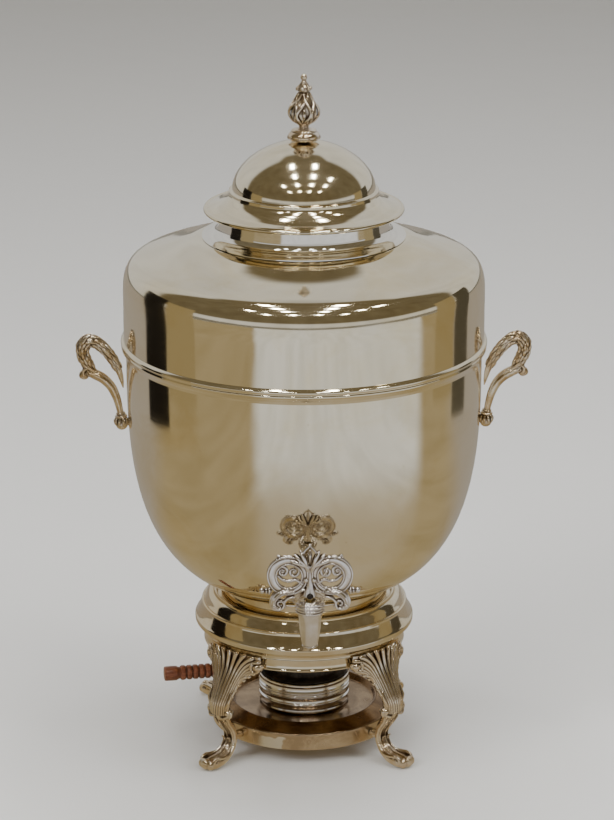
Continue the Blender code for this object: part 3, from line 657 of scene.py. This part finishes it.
def tap():
    """The cast body: a cup for the plug that runs down into the spout, and a shank through the wall."""
    here = Matrix.Translation((0, TAP_Y, 0))
    body = Shape()
    cup = [(8.2, 178.6), (10.6, 178.6), *arc(10.8, 177.6, 1, 70, -60, 7), (10.6, 176.6),
        *arc(10.4, 175.4, 1.2, 60, -70, 7), (10.2, 173.8), (9.8, 172.8), (9.3, 171.6), (8.9, 165),
        (8.2, 157), (6.9, 149.4), (6.3, 147.4), *arc(5.7, 146.1, 0.8, 60, -90, 6), (4.4, 145.4),
        (3.6, 145.7), (3.6, 154.2), (5.2, 156.4), (7.6, 172)]
    body.merge(lathe(cup, 96), here)
    body.bend([(0, -163, TAP_Z, 7), (0, -156, TAP_Z, 5.6), (0, -150, TAP_Z, 5.9), (0, -144, TAP_Z, 6.9),
        (0, -130, TAP_Z, 6.4), (0, -118, TAP_Z, 6.2)], 6, 32, round_ends=False)
    body.tube([(0, -120, TAP_Z, 6.2), (0, -84.4, TAP_Z, 6.2)], 32, round_ends=False)
    for y, r in ((-152.6, 7), (-146, 7.9), (-143.2, 7.2)):
        body.merge(lathe([(0, 1), (r - 0.8, 1), *arc(r - 0.8, 0, 0.9, 80, -80, 7), (0, -1)], 48),
            along((0, -1, 0), (0, y, TAP_Z)))
    wall_r = bowl_radius(TAP_Z)
    slope = Vector((0, -BOWL_DEPTH * wall_r ** 2 / BOWL_R ** 3,
        -((BOWL_TOP - TAP_Z) / BOWL_DEPTH) ** 2)).normalized()
    saddle = [(0, 6.4), (8.6, 6.2), (10, 5.6), (11, 4.8), *arc(12.8, 3.3, 1.5, 110, -20, 8), (14.4, 2.4),
        (13.6, 1.9), (0, 1.9)]
    body.merge(lathe(saddle, 96, swell=lambda a, z: 1 + 0.02 * np.cos(16 * a)),
        along(slope, (0, -wall_r, TAP_Z)))
    piece("tap_casting", body, CAST_BRIGHT, "urn", ["faucet_body"], 45)

    bonnet = [(4.7, 184.5), (6.4, 184.5), (7.4, 184), (7.9, 183.2), *arc(9.6, 182.4, 1.3, 120, -10, 8),
        (11, 181.6), *arc(10.9, 180.3, 1.4, 70, -80, 9), (10.4, 178.9), (8.9, 178.9), (4.7, 182.2)]
    piece("tap_bonnet", Shape().merge(lathe(bonnet, 96), here), CAST_BRIGHT, "urn", ["faucet_bonnet"],
        45)


def key():
    """The pierced key: two banded loops with curls inside, a palmette and shield above, scrolls below."""
    shape = Shape()
    for side in (-1, 1):
        turns = np.linspace(0, TAU, 57)[:-1]

        def band(reach, y, thick):
            rows = []
            for t in turns:
                half = 3.0 + 0.6 * cos(t) + 0.35 * sin(t)
                x, z = LOOP_X + 13.1 * cos(t), LOOP_Z + 13.0 * sin(t)
                rows.append((side * (x + reach * half * cos(t)), y, z + reach * half * sin(t),
                    thick or half / 1.7))
            return rows

        shape.tube(band(0, 0, None), 20, flat=1.7, up=(0, 1, 0), cyclic=True)
        for reach, thick, y in ((0.90, 0.85, -1.3), (-0.90, 0.75, -1.3), (0.90, 0.85, 1.3),
                (-0.90, 0.75, 1.3)):
            shape.tube(band(reach, y, thick), 9, cyclic=True)
        # Curls that hang inside each loop.
        for cx, cz, first, size in ((12.8, 208.2, 1.9, 4.9), (21.6, 208.4, 1.2, 4.4)):
            rows = np.array(spiral((cx, 0, cz), size, 0.7, first, 1.45, XZ, 1.5, 0.6))
            shape.tube(rows * (side, 1, 1, 1), 10)
            shape.ball((side * cx, 0, cz), (1.7, 1.9, 1.7), segments=14)
        shape.bend([(side * 6, 0, 198, 1.9), (side * 11, 0, 201.4, 1.5), (side * 16, 0, 200.2, 1.4),
            (side * 21, 0, 201.4, 1.4), (side * 25.4, 0, 205, 1.2)], 6, 10)
        # The palmette's three leaves on each side of the shield.
        for n, (spread, rise) in enumerate(((15.6, 218.6), (11.6, 222), (7.4, 224.6))):
            rows = curve([(side * 1.2, -0.6, 208, 1.3), (side * (2.4 + n * 0.2), -1.8, 212.4, 1.6),
                (side * spread * 0.52, -2.4, 215.4 + n, 1.8), (side * spread * 0.84, -1.8, rise - 1.6, 1.7),
                (side * spread, -0.4, rise + 0.6, 1)], 6)
            shape.tube(rows, 12)
            rows[:, 1] = -rows[:, 1]
            shape.tube(rows, 12)
        shape.tube(spiral((side * 25, 0, 217.8), 3.6, 0.8, pi / 2, side * 1.2, XZ, 1.4, 0.6), 10)
        shape.ball((side * 19.6, 0, 219.6), (2.2, 1.9, 1.5), segments=14)
        # The spindle's end: a collar, a waist and a knob.
        turned = [(0, 9.6), (1.2, 9.4), *arc(0, 7.4, 2.5, 62, -50, 8), (1.2, 5.2), (2.1, 4.9),
            *arc(2.1, 4.1, 0.8, 80, -80, 6), (1.5, 3.2), (2.4, 2.7), *arc(2.4, 1.8, 0.9, 80, -80, 6),
            (1.7, 0.8), (1.5, 0), (0, -0.4)]
        shape.merge(lathe(turned, 36), along((side, 0, 0.03), (side * 30.2, 0, 192.2)))
        # The lower scroll: a fluted leaf that curls under.
        stem = curve([(side * 13, 0, 191.6, 2.4), (side * 19.4, 0, 192, 3), (side * 25.4, 0, 189.4, 3.3),
            (side * 28.8, 0, 184.2, 3.3), (side * 28, 0, 179.4, 3), (side * 24.4, 0, 177.8, 2.6)], 7)
        shape.tube(stem, 18, ripple=lambda a, t: 1 + 0.10 * np.cos(6 * a))
        for lift in (-2.2, 0, 2.2):
            rib = stem.copy()
            rib[:, 0] += side * (0.55 * lift)
            rib[:, 1] = -stem[:, 3] * (0.86 - 0.02 * lift * lift)
            rib[:, 2] += 0.55 * lift
            rib[:, 3] = 0.62
            shape.tube(rib, 8)
        for y in (-2, 2):
            shape.tube(spiral((side * 23.8, y, 181.4), 4.8, 0.8, -0.4 if side > 0 else pi + 0.4,
                -side * 1.2, XZ, 1.2, 0.7), 9)
            shape.bend([(side * 12.4, y * 0.7, 187.4, 0.7), (side * 17.2, y, 186.4, 1.1),
                (side * 20.2, y, 182.6, 1), (side * 19.2, y * 0.8, 178.6, 0.7)], 5, 9)
        shape.ball((side * 28.4, -1, 179.8), (2.3, 3, 2.3), segments=16)
    # The shield between the leaves, and its pointed top.
    shape.bend([(0, 0, 213.4, 1.2), (0, 0, 217.6, 3.2), (0, 0, 221.8, 4.3), (0, 0, 225.2, 3.1),
        (0, 0, 228.6, 1.2), (0, 0, 230.2, 0.5)], 6, 20, flat=0.45, up=(0, 1, 0))
    for side in (-1, 1):
        shape.bend([(0, -1.6, 211.6, 0.8), (side * 3.6, -1.9, 216.6, 0.9), (side * 5.4, -1.5, 221.6, 1),
            (side * 4.2, -1.2, 225.8, 1), (0, -0.6, 230, 0.8)], 6, 9)
    shape.ball((0, 0, 229.8), (1.7, 1.6, 1.7), segments=14)
    # The middle post with its flared foot.
    shape.bend([(0, 0, 212, 2), (0, 0, 206, 1.7), (0, 0, 200.4, 2.4), (0, 0, 195.4, 3.2), (0, 0, 191, 4.2),
        (0, 0, 187.9, 5)], 6, 24, round_ends=False, ripple=lambda a, t: 1 + 0.06 * np.cos(8 * a))
    for x in (-3.2, 3.2):
        shape.ball((x, -1.4, 201.2), (2, 1.8, 2.6), segments=16)
    piece("key_casting", Shape().merge(shape, Matrix.Translation((0, TAP_Y, 0))), CAST_BRIGHT, "tap_key",
        ["faucet_key"], 60)
    screw = blob((0, TAP_Y - 6.6, 189.6), (2.7, 2.2, 2.5))
    piece("key_screw_head", screw, SOOT, "tap_key", ["key_screw"], 60)


# -------- the stand

LEG_ANGLES = {"front_left": 225, "front_right": 315, "back_right": 45, "back_left": 135}
LEG_ROWS = [(86.6, 97.5, 28.4, 2), (87, 91, 29, 2.4), (88.4, 83, 22.4, 3), (91.6, 75, 14.6, 3.6),
    (96, 66, 10.4, 3.9), (100, 57, 9.8, 4.2), (101, 48, 10.2, 4.4), (96.4, 38, 6.8, 4.6),
    (90.4, 29, 5.4, 4.2), (88.6, 20, 5.6, 4.2), (93, 11, 6.4, 4.6), (101, 5.8, 7.6, 4.8),
    (107.5, 4.8, 8.6, 4.8), (114, 4.6, 9, 4.6), (119, 5.8, 7.4, 4)]

# Rows of the curve through LEG_ROWS, six to each of its spans, counted from the top.
RIM_ROWS, FADE_ROW, SHIN_ROW, UPPER_ROWS, ANKLE_ROW = 18, 26, 40, 46, 56


def leg_body():
    """A cast leg about a flat line: X out from the stand, Y across the leg, Z up. wrap() bends it round."""
    shape = Shape()
    rows = curve(LEG_ROWS, 6)
    middle = rows[:, :2]
    aim = np.gradient(middle, axis=0)
    aim /= np.linalg.norm(aim, axis=1)[:, None]
    out = np.stack([-aim[:, 1], aim[:, 0]], 1)
    out[:RIM_ROWS, 0] = np.maximum(out[:RIM_ROWS, 0], 0.9)
    out /= np.linalg.norm(out, axis=1)[:, None]

    def on(i, across, deep):
        r, z = middle[i] + out[i] * deep * rows[i, 3]
        return np.array((r, across * rows[i, 2], max(z, 0)))

    sides = 40
    verts = []
    for i in range(len(rows)):
        upper = 1 - np.clip((i - FADE_ROW) / 8, 0, 1)
        for k in range(sides):
            a = TAU * k / sides
            across, deep = cos(a), sin(a)
            across = copysign(abs(across) ** 0.8, across)
            if deep > 0:
                flute = 0.22 * upper * cos(across * pi * 4)
                ridge = 0.12 * (1 - upper) * cos(across * pi * 2)
                deep = deep ** 0.7 * (0.92 + flute + ridge)
            verts.append(on(i, across, deep))
    shape.add(verts, tube_faces(len(rows), sides))

    heights = middle[::-1, 1]

    def face_r(z, lift=1):
        """How far out the front of the leg stands at a height above the knee."""
        return np.interp(z, heights[-UPPER_ROWS:], (middle[:, 0] + rows[:, 3] * lift)[::-1][-UPPER_ROWS:])

    def curl(sign, *spiral_of, sides):
        """A spiral, on the other side of the leg if the sign is -1."""
        rows = np.array(spiral(*spiral_of)) * (1, sign, 1, 1)
        shape.tube(rows, sides)

    # Flutes of the leaf: they rise together from the knee, fan out under the rim and bow over at the sides.
    flutes = (
        (0.00, 0, 97, 80), (0.24, 7.6, 97.4, 83), (0.46, 15.2, 97, 86), (0.66, 22.4, 95.8, 89),
        (0.84, 28, 93.4, 91.5), (0.98, 30.4, 90, 91), (1.08, 28.8, 86.6, 87.5), (1.13, 24.4, 83.8, 82.5),
        (1.12, 18.6, 80, 77),
    )
    for spread, t_end, z_end, crest in flutes:
        for sign in ((1,) if spread == 0 else (-1, 1)):
            line = []
            for u in np.linspace(0, 1, 13):
                t = (1 - u) ** 2 * 8.6 * spread + 2 * u * (1 - u) * 9.6 * spread + u * u * t_end
                z = (1 - u) ** 2 * 47.0 + 2 * u * (1 - u) * crest + u * u * z_end
                side = min(abs(t) / np.interp(z, [47, 57, 66, 75, 83, 91, 98],
                    [10, 9.8, 10.8, 14.6, 22.6, 30, 30]), 1)
                line.append((face_r(z, 1.42 - 0.95 * side ** 2), sign * t, z, 1.1 + 0.95 * u ** 0.8))
            shape.tube(line, 10)
    for sign in (-1, 1):
        # The tip that curls towards the window, and the leaf's ragged lower edge.
        shape.ball((88.8, sign * 28.2, 88.6), (3.4, 3.8, 3.4), segments=22, lobes=7, depth=0.16)
        curl(sign, (90.4, 27, 88.2), 4.4, 0.9, 2.4, 1.25, YZ, 1.5, 0.6, sides=10)
        for t, z, size in ((24.4, 83.4, 2.3), (20.6, 80.4, 2.2), (17, 76.8, 2), (14.2, 72.4, 1.9),
                (12.2, 67.6, 1.7), (11.2, 62.6, 1.5)):
            shape.ball((face_r(z, 0.35), sign * t, z), (2.1, size, size * 0.9), segments=14)
        # The scrolls at the knee.
        curl(sign, (102.4, 9.6, 48.6), 4.9, 1, 2, 1.4, YZ, 2, 0.6, sides=12)
        shape.ball((101.6, sign * 10, 48.6), (4.4, 3.2, 3.2), segments=18)
        shape.bend([(104, sign * 4.4, 43.6, 1.3), (105.2, sign * 7.6, 44, 1.5),
            (103, sign * 11.6, 47, 1.2)], 4, 9)
        shape.tube([(103.8, sign * 9, 53.4, 1.5), (103.2, sign * 11.4, 58.4, 1.4),
            (100.2, sign * 11, 65, 1)], 9)
        # The side curls of the toe.
        curl(sign, (112.6, 7.2, 6.4), 4.2, 0.8, -0.6, 1.35, XZ, 1.6, 0.6, sides=10)
        shape.ball((112.6, sign * 6.8, 6.4), (1.9, 2.6, 1.9), segments=14)
        shape.ball((117.6, sign * 4.6, 5), (3.6, 3.8, 4.2), segments=18)
        line = curve([(90.8, sign * 5.2, 16, 1), (96.8, sign * 6.6, 9.4, 1.4), (104, sign * 7.4, 8.6, 1.6),
            (111, sign * 7.8, 9.8, 1.4)], 6)
        shape.tube(line, 9)
    shape.ball((119.2, 0, 5.6), (3.6, 4.4, 4.6))
    # Ribs down the shin, with a small raised curl on the ankle.
    shin = range(SHIN_ROW, len(rows) - 4)
    for across, thick in ((-0.78, 1), (0, 0.9), (0.78, 1)):
        line = [(*on(i, across, 0.72 if across else 1.04), thick) for i in shin]
        shape.tube(line[::2], 9)
    ankle = on(ANKLE_ROW, 0, 1)
    for sign in (-1, 1):
        curl(sign, (ankle[0] + 0.6, 2.9, ankle[2] + 1.5), 2.3, 0.5, 1, 1.2, ANKLE_PLANE, 0.8, 0.6, sides=8)
    return shape


def wrap(shape, angle):
    """Bends a form drawn on a flat line round the stand's axis, and turns it to its place."""
    verts = np.concatenate(shape.verts)
    turn = angle + verts[:, 1] / np.maximum(verts[:, 0], 60)
    return Shape().add(np.stack([verts[:, 0] * np.cos(turn), verts[:, 0] * np.sin(turn), verts[:, 2]], 1),
        shape.faces)


def stand():
    crest = curve([(73.4, 126.8), (73.8, 129.6), (75.6, 130.9), (77.6, 131), (79.4, 130), (81.4, 127.4),
        (83, 123.8), (84.2, 121.4)], 6)
    step = arc(85.2, 120.6, 1.1, 110, -10, 7)
    slope = curve([(86.6, 118.8), (87.9, 115.4), (89.4, 112.2), (90.5, 110.2)], 6)
    edge = [*arc(90.1, 107.8, 1.8, 55, 0, 5), (91.9, 106.4), *arc(90.2, 105.2, 1.6, 0, -70, 6), (89.6, 103)]
    under = curve([(88.8, 102.2), (86.6, 100.9), (85.4, 99.6), (85.3, 98.6)], 5)
    inner = [(84.6, 98.2), (81.4, 98.2), (84.2, 101.6), (87, 104), (88, 107.8), (84.8, 115.4), (80, 124.2),
        (76, 126), (58, 126), (57.6, 126.7), (58, 127.4), (71, 127.4)]
    piece("drum_plate", lathe([*crest, *step, *slope, *edge, *under, *inner], 224), DRUM, "stand",
        ["stand_drum"], 55)
    apron = [(82.4, 98), (84, 98), (84, 97.2), *arc(83.6, 96.3, 0.7, 40, -40, 4), (83.9, 95.4),
        (83.9, 88.6), *arc(83.7, 87.4, 0.9, 50, -90, 6), (82.6, 86.4)]
    piece("apron_plate", lathe(apron, 224), DRUM, "stand", ["stand_apron"], 55)

    top = [(0, 28), (40, 28), (57, 28), (58.4, 28.3), (59.3, 29.2), (60, 31.2),
        *arc(61.6, 31.4, 1.3, 170, 50, 7)]
    slope = curve([(64, 32), (67, 31), (71.4, 29.7), (75.2, 28.6)], 5)
    rim = [*arc(76.4, 26.8, 1.6, 78, 0, 6), (77.9, 24), (77.9, 16.2), *arc(77.4, 14.6, 0.6, 0, -90, 4),
        (76.6, 14), (76.5, 25.6), (73.4, 27.8), (63, 30.4), (61.6, 30.2), (60.4, 26.8), (57, 26.6),
        (0, 26.6)]
    piece("tray_plate", lathe([*top, *slope, *rim], 224), TRAY, "stand", ["burner_tray"], 50)

    flat = leg_body()
    for word, angle in LEG_ANGLES.items():
        a = radians(angle)
        leg = wrap(flat, a)
        leg.tube([polar(78.4, a, 20.5, 3.5), polar(88, a, 20.5, 3.5)], 24, round_ends=False)
        piece("leg_" + word + "_leaf", leg, CAST, "stand", ["leg_" + word], 60)


# -------- the burner

ARM_ANGLE, ARM_Z = radians(189), 59.6


def burner():
    profile = [(35.9, 30.2), (35.9, 54), *arc(37.2, 54.2, 0.9, 175, 0, 8), (38.1, 53.2), (37.7, 52.4)]
    for centre in (47, 44.2):
        profile += arc(37.6, centre, 0.95, 66, -66, 8)
    profile += [(37.5, 41.2), (37.5, 39), *arc(37.6, 37.2, 0.95, 66, -66, 7), (37.4, 35), (37, 32.4),
        *arc(36.6, 30.2, 1.2, 30, -60, 6), (36.4, 28.3), (0, 28.3), (0, 29.7), (35.2, 29.7)]
    piece("burner_shell", lathe(profile, 160), BURNER, "burner", ["burner_cup"], 60)
    plate = [(20, 53), *arc(20.7, 53, 0.6, 180, 0, 6), (21.4, 50.2), (28, 49.9), (29.6, 50.3), (31.2, 49.9),
        (35.3, 50), (35.3, 48.8), (20, 48.8)]
    piece("burner_plate", lathe(plate, 120), SOOT, "burner", ["burner_top_plate"], 50)
    wick = Shape()
    random = np.random.default_rng(5)
    rough = lambda a, z: 1 + 0.006 * np.sin(23 * a + z) + 0.006 * np.sin(41 * a - z)
    wick.merge(lathe([(0, 42.4), *[(r, 42.4 + 0.35 * random.random()) for r in np.linspace(3, 29, 10)],
        (30.6, 41.8), (31.8, 40.4), (31.9, 36), (31.8, 31.4), (30, 30.3), (0, 30.3)], 90, swell=rough))
    piece("burner_wick_pad", wick, WICK, "burner", ["burner_wick"], 80)

    ring = Shape()
    ring.merge(lathe([(21.9, 63.6), *arc(22.8, 63.4, 0.6, 150, 30, 4), (26.4, 64),
        *arc(26.9, 63.4, 0.6, 70, -20, 5), (27.5, 62.6), (27.5, 58.4), (28.2, 57.6), (32, 57.1),
        *arc(36, 56.2, 0.6, 80, -80, 6), (34, 55.6), (26, 55.6), (26, 50.5), (21.9, 50.5)], 140))
    for k in range(16):
        a = TAU * (k + 0.5) / 16
        ring.tube([polar(27.3, a, 59.4, 0.55), polar(27.3, a, 62.4, 0.55)], 8)
    arm = np.array((cos(ARM_ANGLE), sin(ARM_ANGLE), 0))
    at = lambda reach: (*(arm[:2] * reach), ARM_Z)
    boss = [(2.3, 0), (3.1, 0), (3.5, 0.5), (3.6, 6.4), *arc(3.1, 7.6, 0.5, 0, 90, 4), (2.3, 8)]
    ring.merge(lathe(boss, 36), along(arm, at(25.8)))
    piece("damper_ring", ring, SOOT, "regulator", ["regulator_ring"], 50)
    rod = lathe([(0, 0), *arc(1.5, 0.5, 0.5, -90, 0, 4), (2, 12), (2, 48), *arc(1.5, 59.6, 0.5, 0, 90, 4),
        (0, 60.2)], 32)
    piece("damper_arm", Shape().merge(rod, along(arm, at(27))), STEEL, "regulator", ["regulator_arm"],
        50)
    cap = lathe([(2.3, 0), (4, 0), *arc(4.2, 0.8, 0.8, -80, 60, 6), (4.5, 2.4),
        *arc(4.5, 3.6, 0.6, -60, 60, 5), (4.2, 4.8), (2.3, 5)], 48)
    piece("grip_cap", Shape().merge(cap, along(arm, at(68.4))), BRASS, "regulator", ["grip_ferrule"],
        50)
    rows = [(2.3, 0), (4.6, 0), (5, 0.5)]
    for k in range(6):
        centre = 3.6 + 5.3 * k
        rows += [(5, centre - 2.3), *[(6.3 - 0.9 * ((z - centre) / 2.3) ** 4, z)
            for z in np.linspace(centre - 2.1, centre + 2.1, 11)], (5, centre + 2.3)]
    rows += [(5.2, 34.3), (5.9, 35), (6.2, 36.2), (6.3, 40), (6.2, 44.6), *arc(5.4, 45.2, 0.75, 10, 85, 5),
        (0, 46), (0, 16), (2.3, 16)]
    grip = lathe(rows, 72, swell=lambda a, z: 1 + 0.004 * np.sin(3 * a + z))
    piece("grip_turning", Shape().merge(grip, along(arm, at(74))), WOOD, "regulator", ["wooden_grip"],
        60)


tank()
lid()
handle(-1)
handle(1)
tap()
key()
stand()
burner()

for look, names in (
    (BRASS, ["handle_nut_left", "handle_nut_right", "faucet_plug", "faucet_lock_nut", "finial_nut"]
     + ["leg_screw_" + word for word in LEG_ANGLES] + ["tray_screw_" + word for word in LEG_ANGLES]),
    (STEEL, ["handle_washer_left", "handle_washer_right", "faucet_wedge", "finial_washer"]),
    (RUBBER, ["faucet_gasket"]),
):
    for name in names:
        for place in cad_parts[name].material_slots:
            place.material = look


# -------- stage, light and camera

def stage_plane(name, size, location, direction, material, seen=True):
    """A flat sheet: the floor, or a studio card that only shows in reflections."""
    build = bmesh.new()
    bmesh.ops.create_grid(build, x_segments=8, y_segments=8, size=0.5)
    mesh = bpy.data.meshes.new(name)
    build.to_mesh(mesh)
    build.free()
    mesh.materials.append(material)
    obj = add_object(name, mesh)
    obj.scale = (*size, 1)
    obj.location = location
    obj.rotation_euler = Vector(direction).to_track_quat("Z", "Y").to_euler()
    obj.visible_camera = obj.visible_shadow = obj.visible_diffuse = seen


CLOTH_SIDE = 9


def folded_cloth():
    """The table that the tank mirrors: tan at the left and far right, pale with soft folds in front."""
    look = Look("card_cloth", metallic=0.0)
    look.where = look.node("NewGeometry").outputs["Position"]
    x, y = look.axis("X"), look.axis("Y")
    sway = look.times(look.minus(look.noise(2.0, 3, 0.5), 0.5), 0.30)
    left = look.plus(look.minus(x, look.times(y, 0.62)), sway)
    right = look.plus(look.times(x, 0.27), y)
    far = look.math("SQRT", look.plus(look.times(x, x), look.times(y, y)))
    pale = look.times(look.fit(left, -0.06, 0.10), look.fit(right, -0.10, 0.06, 1.0, 0.0))
    folds = look.fit(look.noise(1, 3, 0.55, look.stretched((7.8, 1.8, 1)), distortion=0.6), 0.3, 0.7)
    light = look.mix(folds, (0.645, 0.645, 0.635), (0.775, 0.78, 0.78))
    light = look.mix(look.fit(look.plus(far, sway), 0.35, 0.85), (0.43, 0.37, 0.27), light)
    tan = look.mix(folds, (0.32, 0.255, 0.14), (0.39, 0.32, 0.195))
    color = look.mix(pale, tan, light)
    color = look.mix(look.fit(y, 0.05, 0.40), color, (0.36, 0.325, 0.28))
    return look.glow(color)


def area_light(name, location, target, size, power, color=(1, 1, 1)):
    data = bpy.data.lights.new(name, "AREA")
    data.shape = "RECTANGLE"
    data.size, data.size_y = size
    data.energy = power
    data.color = color
    obj = add_object(name, data)
    obj.location = location
    obj.rotation_euler = (Vector(target) - Vector(location)).to_track_quat("-Z", "Y").to_euler()
    return obj


def floor_look():
    look = Look("pale_cloth", metallic=0.0)
    weave = look.noise(1, 3, 0.6, look.stretched((500, 500, 1)))
    color = look.mix(look.fit(look.noise(2.2, 3, 0.5), 0.3, 0.7), (0.64, 0.65, 0.665), (0.69, 0.70, 0.715))
    return look.done(color, look.fit(weave, 0.3, 0.7, 0.75, 0.9), look.bump(weave, 0.0002, 0.4))


stage_plane("floor", (30, 30), (0, 0, 0), (0, 0, 1), floor_look())

world = bpy.data.worlds.new("studio")
bpy.context.scene.world = world
world.use_nodes = True
sky = Nodes(world.node_tree, "Generated")

# A pale curtain behind the urn and near the horizon, and a dim room everywhere else.
lift = sky.fit(sky.axis("Z"), 0.08, 0.16)
middle = sky.fit(sky.math("ABSOLUTE", sky.axis("X")), 0.20, 0.36, 0.13, 0.0)
ahead = sky.minus(sky.plus(sky.plus(sky.times(sky.axis("Z"), 0.22), middle), 0.25), sky.axis("Y"))
fold = sky.noise(1, 3, where=sky.stretched((6.0, 6.0, 0.25)))
walls = sky.mix(fold, (0.54, 0.53, 0.50), (0.84, 0.83, 0.80))
room = sky.mix(fold, (0.10, 0.078, 0.040), (0.21, 0.175, 0.110))
shade = sky.tree.nodes["Background"]
sky.link(sky.mix(sky.times(lift, sky.fit(ahead, -0.06, 0.05)), walls, room), shade.inputs["Color"])
shade.inputs["Strength"].default_value = 0.95

for soft in (
    area_light("soft_left", (-2.4, -1.8, 2.2), (0, 0, 0.3), (1.6, 1.6), 70, (1.0, 0.98, 0.95)),
    area_light("soft_right", (2.6, -1.2, 1.9), (0, 0, 0.3), (1.4, 1.8), 44, (1.0, 0.99, 0.97)),
    area_light("soft_top", (0.3, 0.6, 3.2), (0, 0, 0.2), (2.2, 2.2), 50),
):
    soft.visible_glossy = False

CEILING_Z, LAMP_SIZE = 2.6, (0.13, 0.34)
for x, y in ((-0.42, 0.35), (0.42, 0.35), (-0.42, -0.45), (0.42, -0.45), (-0.42, -1.35), (0.42, -1.35),
        (1.35, -0.45), (1.35, -1.35), (-1.35, -1.35), (-0.42, -2.6), (0.42, -2.6), (1.35, -2.6),
        (-1.35, -2.6)):
    area_light("ceiling_%d_%d" % (x * 100, y * 100), (x, y, CEILING_Z), (x, y, 0), LAMP_SIZE, 5,
        (1.0, 0.97, 0.90))


CARD_FOOT, CARD_TOP, CARD_TAN = 0.03, 0.64, (0.30, 0.235, 0.12)


def panel(name, color, bearing, reach, width):
    """An upright studio card that faces the urn. The bearing is from the front, to the right if positive."""
    a = radians(bearing)
    spot = (reach * sin(a), -reach * cos(a), (CARD_FOOT + CARD_TOP) / 2)
    stage_plane(name, (width, CARD_TOP - CARD_FOOT), spot, (-spot[0], -spot[1], 0),
        Look(name, metallic=0.0).glow(color), seen=False)


panel("card_left_dark", (0.012, 0.010, 0.008), -102.5, 0.85, 0.315)
panel("card_left_tan", CARD_TAN, -81, 1.0, 0.39)
panel("card_right_dark", (0.075, 0.065, 0.045), 109.6, 0.9, 0.245)
panel("card_right_tan", CARD_TAN, 93, 1.0, 0.31)
stage_plane("card_table", (CLOTH_SIDE, CLOTH_SIDE), (0, 0, 0.001), (0, 0, 1), folded_cloth(), seen=False)

# The photo's viewing angle: from the front, a little to the left, and 18 degrees down.
SENSOR, LENS = 24, 94.7707317
TURN, RISE, DISTANCE = radians(-1.6), radians(18.0), 2.684
camera = add_object("camera", bpy.data.cameras.new("camera"))
bpy.context.scene.camera = camera
camera.data.sensor_fit = "VERTICAL"
camera.data.sensor_height = SENSOR
camera.data.lens = LENS
camera.data.clip_end = 100
aim = Vector((0.0025, AXIS_Y / 1000, 0.2865))
camera.location = aim + DISTANCE * Vector((sin(TURN) * cos(RISE), -cos(TURN) * cos(RISE), sin(RISE)))
camera.rotation_euler = (aim - camera.location).to_track_quat("-Z", "Y").to_euler()
